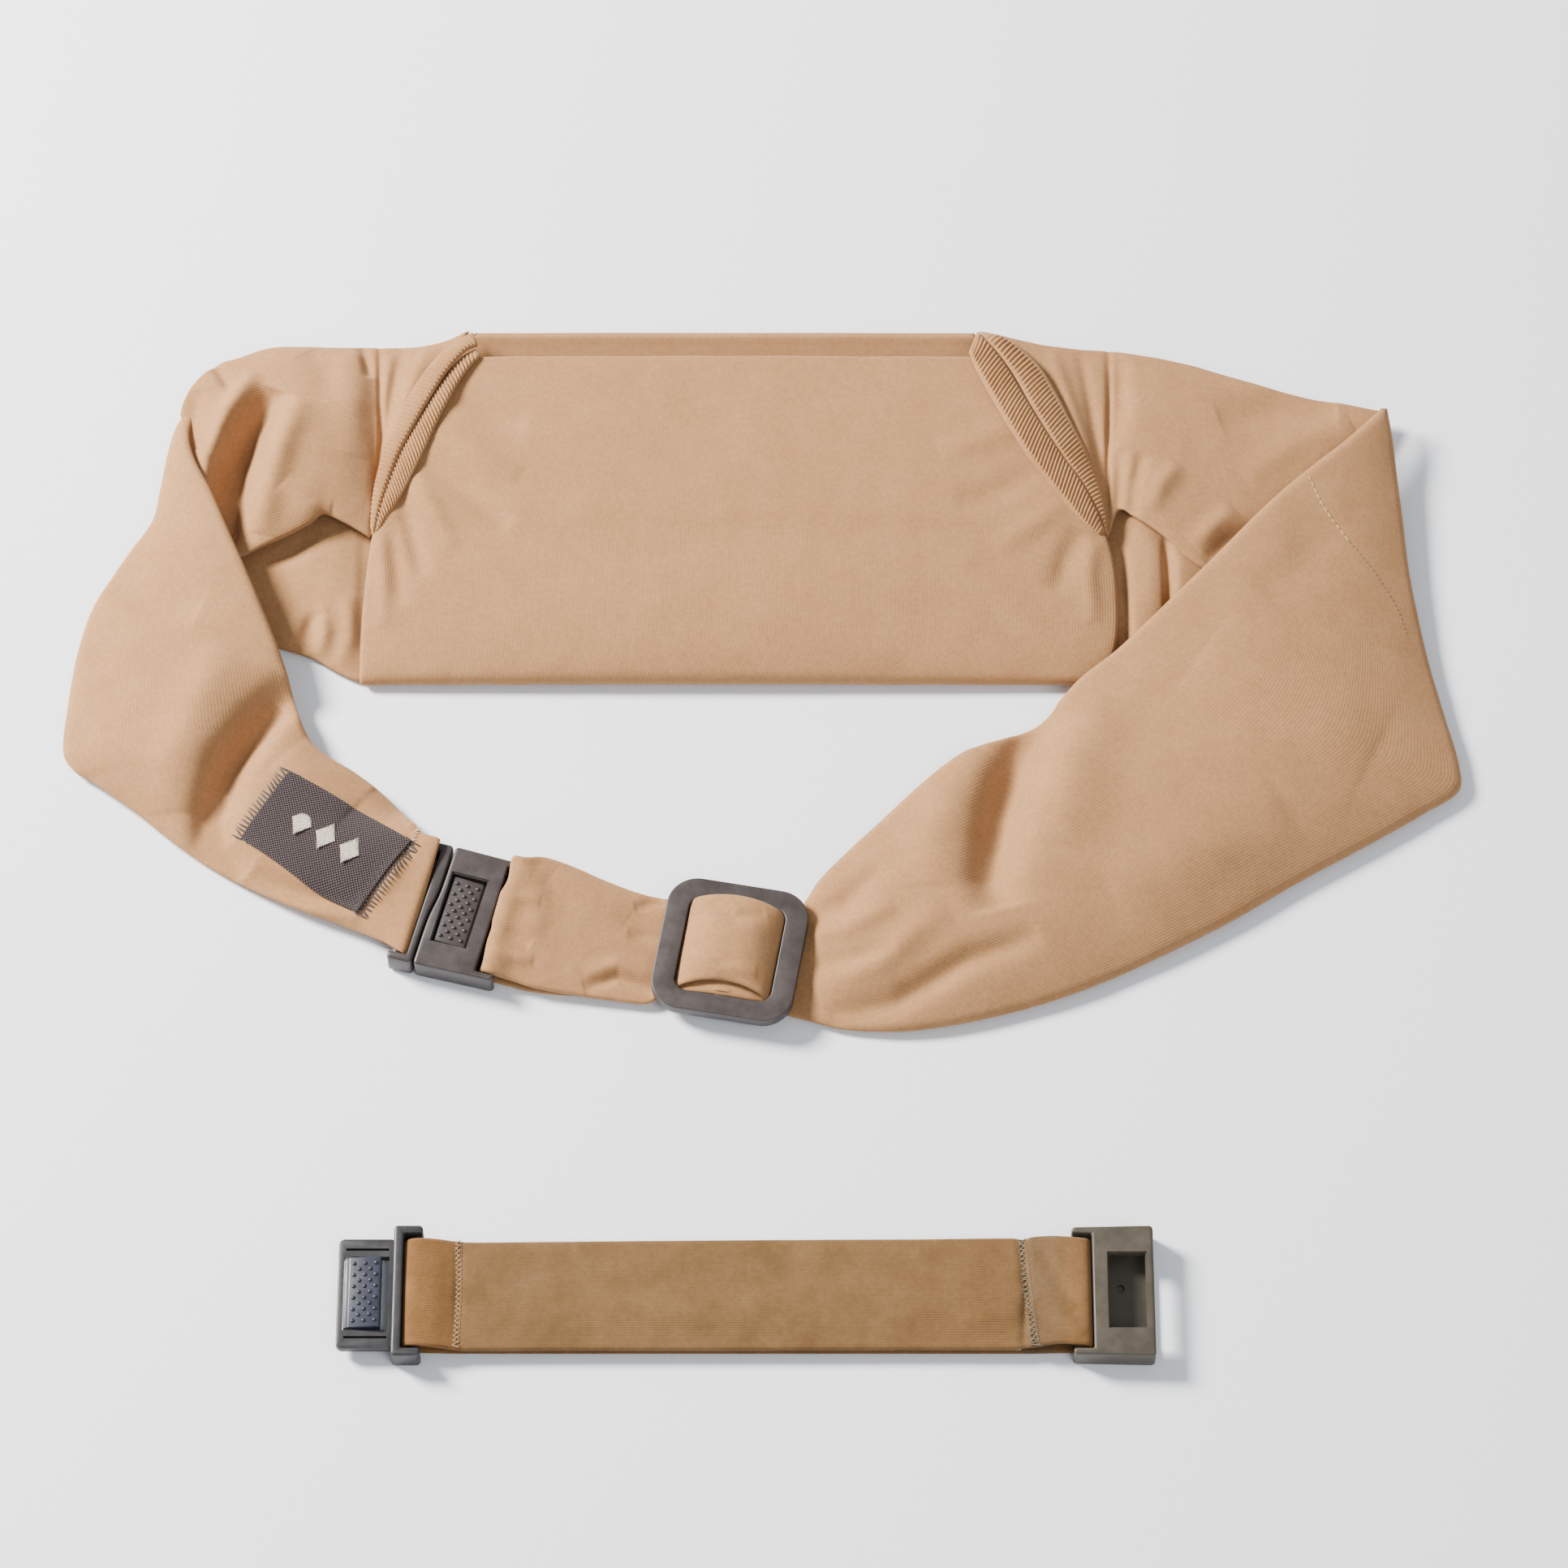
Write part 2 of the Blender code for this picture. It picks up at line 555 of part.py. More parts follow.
strap_layer("extender_strap_back", EXTENDER_LEFT, EXTENDER_RIGHT, 0.8, 1.0, HALF_STRAP)
strap_layer("extender_elastic_core", EXTENDER_LEFT + 1.0, EXTENDER_RIGHT - 1.0, 2.2, 1.2, HALF_STRAP - 2.0, ELASTIC)
strap_layer("extender_strap_front", EXTENDER_LEFT, EXTENDER_RIGHT, 3.6, 1.0, HALF_STRAP)
male_loop = extruded(
    "extender_left_loop",
    loop_profile(MALE_BAR_X, BAR_Z, LOOP_RADIUS, 1, -21.6, 3.6, -21.6, 0.9),
    HALF_STRAP, HALF_STRAP, FABRIC - 0.2,
)
place(male_loop, extender_male_spot, 180.0)
female_loop = extruded(
    "extender_right_loop",
    loop_profile(FEMALE_BAR_X, BAR_Z, LOOP_RADIUS, -1, 40.1, 3.6, 40.1, 0.9),
    HALF_STRAP, HALF_STRAP, FABRIC - 0.2,
)
place(female_loop, (EXTENDER_FEMALE_X, EXTENDER_Y, 0.0), 180.0)
stitch_line("extender_left_stitching", [(EXTENDER_LEFT - 1.6, -17.4, 4.9), (EXTENDER_LEFT - 1.6, 17.4, 4.9)], 2.2,
            parent_at=(0, EXTENDER_Y))
stitch_line("extender_right_stitching", [(EXTENDER_RIGHT + 1.6, -17.4, 4.9), (EXTENDER_RIGHT + 1.6, 17.4, 4.9)], 2.4,
            parent_at=(0, EXTENDER_Y))
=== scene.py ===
# A pocketed travel money belt lying closed on a pale table, with its clip-in extender below it.
# Lengths are in millimetres until a mesh is made; meshes are in metres.

import math

import bmesh
import bpy
import numpy as np
from mathutils import Matrix, Vector, noise
from mathutils.bvhtree import BVHTree


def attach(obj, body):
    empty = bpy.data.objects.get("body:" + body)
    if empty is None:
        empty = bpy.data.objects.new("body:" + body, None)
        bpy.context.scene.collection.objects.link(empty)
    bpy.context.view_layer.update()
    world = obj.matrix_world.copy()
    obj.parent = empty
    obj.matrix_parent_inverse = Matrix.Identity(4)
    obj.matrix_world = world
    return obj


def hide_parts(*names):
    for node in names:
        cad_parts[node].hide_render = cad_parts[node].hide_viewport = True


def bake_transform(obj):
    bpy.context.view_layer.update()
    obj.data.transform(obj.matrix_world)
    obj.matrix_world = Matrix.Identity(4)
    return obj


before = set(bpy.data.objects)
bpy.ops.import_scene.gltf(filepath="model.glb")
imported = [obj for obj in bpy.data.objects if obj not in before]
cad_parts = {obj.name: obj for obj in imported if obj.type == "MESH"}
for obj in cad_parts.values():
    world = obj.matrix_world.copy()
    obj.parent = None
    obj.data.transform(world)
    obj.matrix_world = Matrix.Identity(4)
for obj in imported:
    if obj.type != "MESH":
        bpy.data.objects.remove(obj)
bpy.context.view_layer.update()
mm = 0.001
tiny = 1e-9         # keeps a length from being zero where it divides
weldGap = 2e-6      # m, points closer than this are one
sliverGap = 1e-7    # m, an edge shorter than this is removed
bevelAngle = 35     # degrees, sharper edges are rounded
sharpAngle = 32     # degrees, sharper edges are shaded as creases
leastWidth = 10.0   # mm, the narrowest size a cut can be declared with
leastShare = 0.31   # of width times length, the least area a cut can be declared with
rayStart = 0.08     # m, above everything that lies on the table
tintReach = 0.11    # m, half the span over which the extender's tints are set
extenderY = -281.0  # the extender's middle line
print("frame loaded")


view = {"target": (14.3, -98.0, 0.0), "elevation": 62.0, "distance": 2000.0, "lens": 140.6,
    "sensor": 36.0, "farthest": 20.0}


def placed(name, data):
    obj = bpy.data.objects.new(name, data)
    bpy.context.scene.collection.objects.link(obj)
    return obj


def meshFrom(bm, name):
    mesh = bpy.data.meshes.new(name)
    bm.to_mesh(mesh)
    bm.free()
    return mesh


# What an object's curve or modifiers come to, as a plain mesh.
def finishedMesh(obj):
    graph = bpy.context.evaluated_depsgraph_get()
    return bpy.data.meshes.new_from_object(obj.evaluated_get(graph))


def placeCamera():
    angle = math.radians(view["elevation"])
    back = Vector((0, -math.cos(angle), math.sin(angle)))
    data = bpy.data.cameras.new("camera")
    data.lens = view["lens"]
    data.sensor_width = view["sensor"]
    data.clip_end = view["farthest"]
    camera = bpy.data.objects.new("camera", data)
    camera.location = (Vector(view["target"]) + back * view["distance"]) * mm
    camera.rotation_euler = (math.pi / 2 - angle, 0, 0)
    bpy.context.scene.collection.objects.link(camera)
    bpy.context.scene.camera = camera


def areaLight(name, place, aim, size, power, color=(1, 1, 1)):
    data = bpy.data.lights.new(name, "AREA")
    data.shape = "DISK"
    data.size = size
    data.energy = power
    data.color = color
    lamp = bpy.data.objects.new(name, data)
    lamp.location = place
    lamp.rotation_euler = (Vector(aim) - Vector(place)).to_track_quat("-Z", "Y").to_euler()
    bpy.context.scene.collection.objects.link(lamp)


placeCamera()
areaLight("key", (-1.5, 0.62, 1.12), (0.0, -0.1, 0.0), 0.6, 172.0, (1.0, 0.965, 0.915))
areaLight("fill", (0.7, -1.2, 1.6), (0.0, -0.1, 0.0), 1.0, 14.0, (0.97, 0.985, 1.0))
world = bpy.data.worlds.new("studio")
world.use_nodes = True
world.node_tree.nodes["Background"].inputs["Color"].default_value = (0.9, 0.95, 1.0, 1.0)
world.node_tree.nodes["Background"].inputs["Strength"].default_value = 0.52
bpy.context.scene.world = world


# An sRGB hex colour as linear values.
def linear(code):
    parts = [int(code[i:i + 2], 16) / 255 for i in (1, 3, 5)]
    return (*[c / 12.92 if c <= 0.04045 else ((c + 0.055) / 1.055) ** 2.4 for c in parts], 1.0)


# One node: settings are its properties, values its unlinked inputs, links its linked ones.
def addNode(tree, kind, links=None, values=None, **settings):
    node = tree.nodes.new(kind)
    for name, value in settings.items():
        setattr(node, name, value)
    for key, value in (values or {}).items():
        node.inputs[key].default_value = value
    for key, source in (links or {}).items():
        tree.links.new(source, node.inputs[key])
    return node


def setInputs(node, values):
    for key, value in values.items():
        node.inputs[key].default_value = value


# A sum on sockets and plain numbers, in the order of the node's inputs.
def mathNode(tree, operation, *inputs):
    links = {k: v for k, v in enumerate(inputs) if isinstance(v, bpy.types.NodeSocket)}
    values = {k: v for k, v in enumerate(inputs) if k not in links}
    return addNode(tree, "ShaderNodeMath", links, values, operation=operation)


def noiseNode(tree, place, scale, detail, roughness=0.5):
    return addNode(tree, "ShaderNodeTexNoise", {"Vector": place.outputs["Object"]},
        {"Scale": scale, "Detail": detail, "Roughness": roughness})


def bumpNode(tree, shader, height, strength, distance):
    bump = addNode(tree, "ShaderNodeBump", {"Height": height},
        {"Strength": strength, "Distance": distance})
    tree.links.new(bump.outputs["Normal"], shader.inputs["Normal"])


def startMaterial(name):
    made = bpy.data.materials.new(name)
    made.use_nodes = True
    tree = made.node_tree
    return made, tree, tree.nodes["Principled BSDF"]


def ramp(tree, source, low, high, colorLow, colorHigh):
    node = addNode(tree, "ShaderNodeValToRGB", {"Fac": source})
    node.color_ramp.elements[0].position = low
    node.color_ramp.elements[1].position = high
    node.color_ramp.elements[0].color = colorLow
    node.color_ramp.elements[1].color = colorHigh
    return node


# A sine along one coordinate in metres, from -1 to 1, once each pitch in metres.
def waves(tree, coordinate, pitch):
    turned = mathNode(tree, "MULTIPLY", coordinate, 2 * math.pi / pitch)
    return mathNode(tree, "SINE", turned.outputs[0])


# how the extender's ends have yellowed and greyed: (place in m along it, colour its own is
# multiplied by)
endTints = ((-0.105, (1.16, 1.0, 0.8)), (-0.089, (1.12, 0.98, 0.78)), (-0.084, (1.0, 1.0, 1.0)),
    (0.0, (1.0, 1.0, 0.96)), (0.086, (1.04, 1.0, 0.94)), (0.0925, (0.74, 0.79, 0.9)),
    (0.098, (0.9, 0.94, 1.04)), (0.106, (1.2, 1.1, 0.98)))


# Knitted jersey: fine wales and courses, slight mottling and a soft bloom. Pitches are in metres.
def jersey(name, light, dark, wale, course, relief, sheen=0.18, tints=()):
    made, tree, shader = startMaterial(name)
    uv = addNode(tree, "ShaderNodeUVMap", uv_map="cloth")
    along = addNode(tree, "ShaderNodeSeparateXYZ", {0: uv.outputs[0]})
    place = addNode(tree, "ShaderNodeTexCoord")
    mottle = noiseNode(tree, place, 95.0, 3.0, 0.6)
    grain = noiseNode(tree, place, 720.0, 2.0, 0.7)
    wales = waves(tree, along.outputs["Y"], wale)
    courses = waves(tree, along.outputs["X"], course)
    knit = mathNode(tree, "MULTIPLY", wales.outputs[0], courses.outputs[0])
    knit = mathNode(tree, "MULTIPLY_ADD", knit.outputs[0], 0.6, wales.outputs[0])
    base = ramp(tree, mottle.outputs["Fac"], 0.3, 0.72, linear(dark), linear(light))
    speck = ramp(tree, grain.outputs["Fac"], 0.34, 0.66, (0.86, 0.85, 0.84, 1),
        (1.06, 1.05, 1.04, 1))
    tint = addNode(tree, "ShaderNodeMix", data_type="RGBA", blend_type="MULTIPLY")
    tint.inputs["Factor"].default_value = 0.8
    tree.links.new(base.outputs["Color"], tint.inputs["A"])
    tree.links.new(speck.outputs["Color"], tint.inputs["B"])
    finished = tint.outputs["Result"]
    if tints:
        spot = addNode(tree, "ShaderNodeSeparateXYZ", {0: place.outputs["Object"]})
        span = addNode(tree, "ShaderNodeMapRange", {"Value": spot.outputs["X"]},
            {"From Min": -tintReach, "From Max": tintReach})
        faded = addNode(tree, "ShaderNodeValToRGB", {"Fac": span.outputs[0]})
        while len(faded.color_ramp.elements) > 1:
            faded.color_ramp.elements.remove(faded.color_ramp.elements[-1])
        faded.color_ramp.elements[0].position = (tints[0][0] + tintReach) / (2 * tintReach)
        faded.color_ramp.elements[0].color = (*tints[0][1], 1.0)
        for x, color in tints[1:]:
            faded.color_ramp.elements.new((x + tintReach) / (2 * tintReach)).color = (*color, 1.0)
        aged = addNode(tree, "ShaderNodeMix", data_type="RGBA", blend_type="MULTIPLY")
        aged.inputs["Factor"].default_value = 1.0
        tree.links.new(finished, aged.inputs["A"])
        tree.links.new(faded.outputs["Color"], aged.inputs["B"])
        finished = aged.outputs["Result"]
    tree.links.new(finished, shader.inputs["Base Color"])
    height = mathNode(tree, "MULTIPLY_ADD", grain.outputs["Fac"], 1.5, knit.outputs[0])
    bumpNode(tree, shader, height.outputs[0], relief, 0.00016)
    setInputs(shader, {"Roughness": 0.88, "Specular IOR Level": 0.22, "Sheen Weight": sheen,
        "Sheen Roughness": 0.45, "Sheen Tint": linear("#e9dccb")})
    return made


# Moulded acetal: a fine spark-eroded grain, with uneven gloss where hands have rubbed it.
def moulded(name, light, dark, rough):
    made, tree, shader = startMaterial(name)
    place = addNode(tree, "ShaderNodeTexCoord")
    cloud = noiseNode(tree, place, 160.0, 4.0, 0.6)
    grain = noiseNode(tree, place, 2600.0, 2.0, 0.6)
    base = ramp(tree, cloud.outputs["Fac"], 0.3, 0.7, linear(dark), linear(light))
    tree.links.new(base.outputs["Color"], shader.inputs["Base Color"])
    gloss = addNode(tree, "ShaderNodeMapRange", {"Value": cloud.outputs["Fac"]},
        {"From Min": 0.3, "From Max": 0.7, "To Min": rough - 0.06, "To Max": rough + 0.1})
    tree.links.new(gloss.outputs[0], shader.inputs["Roughness"])
    bumpNode(tree, shader, grain.outputs["Fac"], 0.3, 0.00004)
    setInputs(shader, {"Specular IOR Level": 0.45})
    return made


# Label tape: a plain weave of thick threads.
def woven(name, light, dark):
    made, tree, shader = startMaterial(name)
    uv = addNode(tree, "ShaderNodeUVMap", uv_map="cloth")
    along = addNode(tree, "ShaderNodeSeparateXYZ", {0: uv.outputs[0]})
    over = waves(tree, along.outputs["X"], 0.0011)
    under = waves(tree, along.outputs["Y"], 0.0011)
    cross = mathNode(tree, "MULTIPLY", over.outputs[0], under.outputs[0])
    place = addNode(tree, "ShaderNodeTexCoord")
    grain = noiseNode(tree, place, 700.0, 3.0)
    height = mathNode(tree, "MULTIPLY_ADD", grain.outputs["Fac"], 0.9, cross.outputs[0])
    base = ramp(tree, height.outputs[0], -0.1, 1.1, linear(dark), linear(light))
    tree.links.new(base.outputs["Color"], shader.inputs["Base Color"])
    bumpNode(tree, shader, height.outputs[0], 0.8, 0.0003)
    setInputs(shader, {"Roughness": 0.8, "Sheen Weight": 0.1})
    return made


# Sewing or embroidery thread, twisted, with a soft gloss.
def yarn(name, light, dark, rough=0.6):
    made, tree, shader = startMaterial(name)
    place = addNode(tree, "ShaderNodeTexCoord")
    twist = noiseNode(tree, place, 1800.0, 2.0)
    base = ramp(tree, twist.outputs["Fac"], 0.35, 0.65, linear(dark), linear(light))
    tree.links.new(base.outputs["Color"], shader.inputs["Base Color"])
    bumpNode(tree, shader, twist.outputs["Fac"], 0.5, 0.0001)
    setInputs(shader, {"Roughness": rough, "Sheen Weight": 0.15})
    return made


# Pale matt table.
def tabletop():
    made, tree, shader = startMaterial("pale_table")
    place = addNode(tree, "ShaderNodeTexCoord")
    cloud = noiseNode(tree, place, 3.0, 2.0)
    base = ramp(tree, cloud.outputs["Fac"], 0.3, 0.7, linear("#f1f4fa"), linear("#f4f7fc"))
    tree.links.new(base.outputs["Color"], shader.inputs["Base Color"])
    setInputs(shader, {"Roughness": 0.8})
    return made


tanJersey = jersey("tan_jersey", "#a57a52", "#9e734b", 0.0008, 0.0007, 0.14)  # belt and pocket
tanHem = jersey("tan_jersey_hem", "#a77c54", "#986d45", 0.0008, 0.0008, 0.14)  # stretched hems
# extender strap
goldJersey = jersey("golden_jersey", "#745737", "#634828", 0.0008, 0.0007, 0.22, 0.2, endTints)
elasticWeb = woven("elastic_webbing", "#cfc5b4", "#a59a88")  # inside the extender
greyPlastic = moulded("warm_grey_acetal", "#3d3635", "#332d2c", 0.42)  # belt buckle and adjuster
olivePlastic = moulded("olive_grey_acetal", "#484136", "#3c362d", 0.46)  # extender socket
slatePlastic = moulded("slate_grey_acetal", "#2f2e31", "#272628", 0.42)  # extender plug half
labelTape = woven("dark_label_tape", "#402c2d", "#1a1112")  # woven label
padPlastic = moulded("blue_grey_acetal", "#2c2f3c", "#252834", 0.40)  # extender push pad
silverThread = yarn("silver_thread", "#a39690", "#7d706b", 0.4)  # label zigzag
brownThread = yarn("brown_thread", "#5f4429", "#46311d")  # fine seam
goldThread = yarn("gold_thread", "#a0865c", "#6d5434")  # extender zigzag
greyThread = yarn("grey_thread", "#7b7058", "#4f4636")  # overlock
tanThread = yarn("tan_thread", "#d2b38f", "#a88860")  # seams
darkThread = yarn("dark_thread", "#3a3032", "#221c1d")  # label edges
markThread = yarn("mark_thread", "#d9cfbd", "#a89c88", 0.45)  # label embroidery
floorLook = tabletop()
print("materials made")


# Catmull-Rom through rows of numbers, read at even steps of length.
def smoothPath(points, count):
    p = np.array(points, float)
    steps = np.linalg.norm(np.diff(p, axis=0), axis=1)
    knots = np.concatenate([[0], np.cumsum(np.maximum(steps, 1e-6))])
    at = np.linspace(0, knots[-1], count)
    slope = np.zeros_like(p)
    slope[1:-1] = (p[2:] - p[:-2]) / (knots[2:] - knots[:-2])[:, None]
    slope[0] = (p[1] - p[0]) / (knots[1] - knots[0])
    slope[-1] = (p[-1] - p[-2]) / (knots[-1] - knots[-2])
    chord = np.diff(p, axis=0) / np.diff(knots)[:, None]
    for part in (slice(0, 3), slice(3, 6)):
        speed = np.linalg.norm(chord[:, part], axis=1, keepdims=True)
        most = 2.0 * np.minimum(np.vstack([speed[:1], speed]), np.vstack([speed, speed[-1:]]))
        slope[:, part] *= np.minimum(1.0, most / np.maximum(np.linalg.norm(slope[:, part], axis=1,
            keepdims=True), tiny))
    i = np.clip(np.searchsorted(knots, at, "right") - 1, 0, len(p) - 2)
    h = (knots[i + 1] - knots[i])[:, None]
    u = ((at - knots[i])[:, None]) / h
    return ((2 * u**3 - 3 * u**2 + 1) * p[i] + (u**3 - 2 * u**2 + u) * h * slope[i]
        + (-2 * u**3 + 3 * u**2) * p[i + 1] + (u**3 - u**2) * h * slope[i + 1])


# Height added by soft folds. Each fold is (points, width, height), and it fades out towards its
# ends.
def foldField(x, y, folds):
    total = np.zeros_like(x)
    for points, width, height in folds:
        p = np.array(points, float)
        lengths = np.linalg.norm(np.diff(p, axis=0), axis=1)
        whole = lengths.sum()
        best = np.full(x.shape, 1e9)
        share = np.zeros_like(x)
        run = 0.0
        for a, b, length in zip(p[:-1], p[1:], lengths):
            d = b - a
            t = np.clip(((x - a[0]) * d[0] + (y - a[1]) * d[1]) / (d @ d), 0, 1)
            gap = np.hypot(x - a[0] - t * d[0], y - a[1] - t * d[1])
            closer = gap < best
            best = np.where(closer, gap, best)
            share = np.where(closer, (run + t * length) / whole, share)
            run += length
        taper = np.clip(np.sin(math.pi * np.clip(share, 0.0, 1.0)), 0, 1) ** 0.5
        total += height * taper * np.exp(-((best / width) ** 2))
    return total


# Small uneven waves, so that no cloth is quite even.
def ripple(x, y, seed, amount, size):
    flat = [noise.noise(Vector((a / size, b / size, seed))) + 0.4
        * noise.noise(Vector((a / size * 2.6, b / size * 2.6, seed + 7))) for a,
        b in zip(x.ravel(), y.ravel())]
    return amount * np.array(flat).reshape(x.shape)


# Directions averaged with their neighbours, for where rows crowd together at a pinch.
def evened(normal, rounds):
    for _ in range(rounds):
        wide = np.pad(normal, ((1, 1), (1, 1), (0, 0)), "edge")
        normal = (wide[1:-1, 1:-1] * 2 + wide[:-2, 1:-1] + wide[2:, 1:-1] + wide[1:-1,
            :-2] + wide[1:-1, 2:]) / 6
        normal = normal / np.maximum(np.linalg.norm(normal, axis=2, keepdims=True), tiny)
    return normal


def surfaceNormals(grid):
    along = np.gradient(grid, axis=0)
    across = np.gradient(grid, axis=1)
    n = np.cross(along, across)
    n /= np.maximum(np.linalg.norm(n, axis=2, keepdims=True), tiny)
    return n if n[..., 2].mean() > 0 else -n


# A closed piece of cloth from its middle surface (rows x columns x 3), half thickness and relief on
# top.
def closedCloth(name, middle, half, material, body=None, raised=0.0, normal=None):
    normal = surfaceNormals(middle) if normal is None else normal
    top = middle + normal * (half + raised)[..., None]
    low = middle - normal * half[..., None]
    rows, cols = half.shape
    rowStep = np.linalg.norm(np.diff(middle, axis=0), axis=2).mean(axis=1)
    colStep = np.linalg.norm(np.diff(middle, axis=1), axis=2).mean(axis=0)
    u = np.concatenate([[0], np.cumsum(rowStep)]) * mm
    v = np.concatenate([[0], np.cumsum(colStep)]) * mm
    bm = bmesh.new()
    layer = bm.loops.layers.uv.new("cloth")
    faceOf = {}
    grids = []
    for points in (top, low):
        grids.append([[bm.verts.new(points[r, c] * mm) for c in range(cols)] for r in range(rows)])
    for r in range(rows):
        for c in range(cols):
            for g in grids:
                faceOf[g[r][c]] = (u[r], v[c])

    def quad(a, b, c, d):
        face = bm.faces.new((a, b, c, d))
        face.smooth = True
        for loop in face.loops:
            loop[layer].uv = faceOf[loop.vert]

    t, b = grids
    for r in range(rows - 1):
        for c in range(cols - 1):
            quad(t[r][c], t[r][c + 1], t[r + 1][c + 1], t[r + 1][c])
            quad(b[r][c], b[r + 1][c], b[r + 1][c + 1], b[r][c + 1])
    for c in range(cols - 1):
        quad(t[0][c], b[0][c], b[0][c + 1], t[0][c + 1])
        quad(t[-1][c], t[-1][c + 1], b[-1][c + 1], b[-1][c])
    for r in range(rows - 1):
        quad(t[r][0], t[r + 1][0], b[r + 1][0], b[r][0])
        quad(t[r][-1], b[r][-1], b[r + 1][-1], t[r + 1][-1])
    bmesh.ops.remove_doubles(bm, verts=bm.verts, dist=weldGap)
    bmesh.ops.dissolve_degenerate(bm, dist=sliverGap, edges=bm.edges)
    bmesh.ops.recalc_face_normals(bm, faces=bm.faces)
    mesh = meshFrom(bm, name)
    mesh.materials.append(material)
    obj = placed(name, mesh)
    if body:
        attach(obj, body)
    return obj


# The rounded edge of a folded layer: 0 at the edge, 1 from the radius inwards.
def roll(distance, radius):
    return np.sqrt(np.clip(1 - (1 - np.clip(distance / radius, 0, 1)) ** 2, 0, 1))


def acrossSteps(count):
    even = np.linspace(0, 1, count)
    return 0.5 * even + 0.5 * (0.5 - 0.5 * np.cos(math.pi * even))


# Cloth through stations of (edge point, other edge point, crown, and half thickness where it
# changes).
def clothPiece(name, stations, cfg, material, body=None):
    flat = [[*row[0], *row[1], row[2], row[3] if len(row) > 3 else cfg["half"]] for row in stations]
    path = smoothPath(flat, cfg["rows"])
    t = acrossSteps(cfg["cols"])
    a, b = path[:, None, 0:3], path[:, None, 3:6]
    grid = a + (b - a) * t[None, :, None]
    width = np.linalg.norm(path[:, 3:6] - path[:, 0:3], axis=1)[:, None]
    arch = np.sin(math.pi * t)[None, :] ** cfg.get("archPower", 0.8)
    grid[..., 2] += path[:, 6:7] * arch
    if cfg.get("startWave"):
        size, slope = cfg["startWave"]
        ahead = (path[6, 0:2] + path[6, 3:5] - path[0, 0:2] - path[0, 3:5]) / 2
        ahead /= np.linalg.norm(ahead)
        near = np.clip(1 - np.linspace(0, 1, cfg["rows"]) / 0.12, 0, 1)[:, None] ** 2
        edgeWave = size * (np.sin(t * 9.0) * 0.5 + np.sin(t * 17.0 + 1) * 0.3 + slope)[None, :]
        grid[..., 0:2] -= near[..., None] * (np.minimum(edgeWave, 0.0)[..., None] * ahead)
    cut = cutSize(grid)
    normal = evened(surfaceNormals(grid), cfg.get("even", 0))
    flatX, flatY = grid[..., 0].copy(), grid[..., 1].copy()
    grid[..., 2] += foldField(flatX, flatY, cfg.get("folds", ()))
    grid[..., 2] += ripple(flatX, flatY, cfg.get("seed", 1.0), cfg.get("ripple", 0.3),
        cfg.get("rippleSize", 17.0))
    edge = np.minimum(t, 1 - t)[None, :] * width
    half = path[:, 7:8] * roll(edge, cfg.get("rollRadius", cfg["half"] * 1.6))
    if cfg.get("endRoll"):
        run = np.linspace(0, 1, cfg["rows"]) * np.linalg.norm(np.diff(path[:, 0:3], axis=0),
            axis=1).sum()
        far = np.minimum(run, run[-1] - run) if cfg["endRoll"] == "both" else run[-1] - run
        half = half * roll(far, cfg["half"] * 1.6)[:, None]
    low = path[:, 7:8] + cfg.get("floor", 0.25)
    soft = grid[..., 2] - low
    grid[..., 2] = low + np.where(soft > 1.0, soft, np.exp(np.clip(soft, -9, 1) - 1.0))
    return closedCloth(name, grid, half, material, body, normal=normal), cut


# The flat size of a piece's cut, (width, length) and area, from its middle surface before any small
# folds.
def cutSize(grid):
    across = np.linalg.norm(np.diff(grid, axis=1), axis=2).sum(axis=1)
    along = np.linalg.norm(np.diff(grid, axis=0), axis=2).sum(axis=0)
    length = along.mean()
    area = (across[:-1] + across[1:]).sum() / 2 * length / (len(across) - 1)
    width = max(across.max(), leastWidth)
    length = max(length, leastWidth)
    return (width * mm, length * mm), min(max(area, leastShare * width * length),
        width * length) * mm * mm


def declareSheet(obj, cut, held):
    flat, area = cut
    width, length = flat[0] / mm, flat[1] / mm
    print(f"{obj.name}: {held}, cut {width:.0f} x {length:.0f} mm, {area / mm / mm:.0f} mm2")


pocket = {"half": 0.75, "rows": 120, "cols": 170, "mouthY": 57.0}


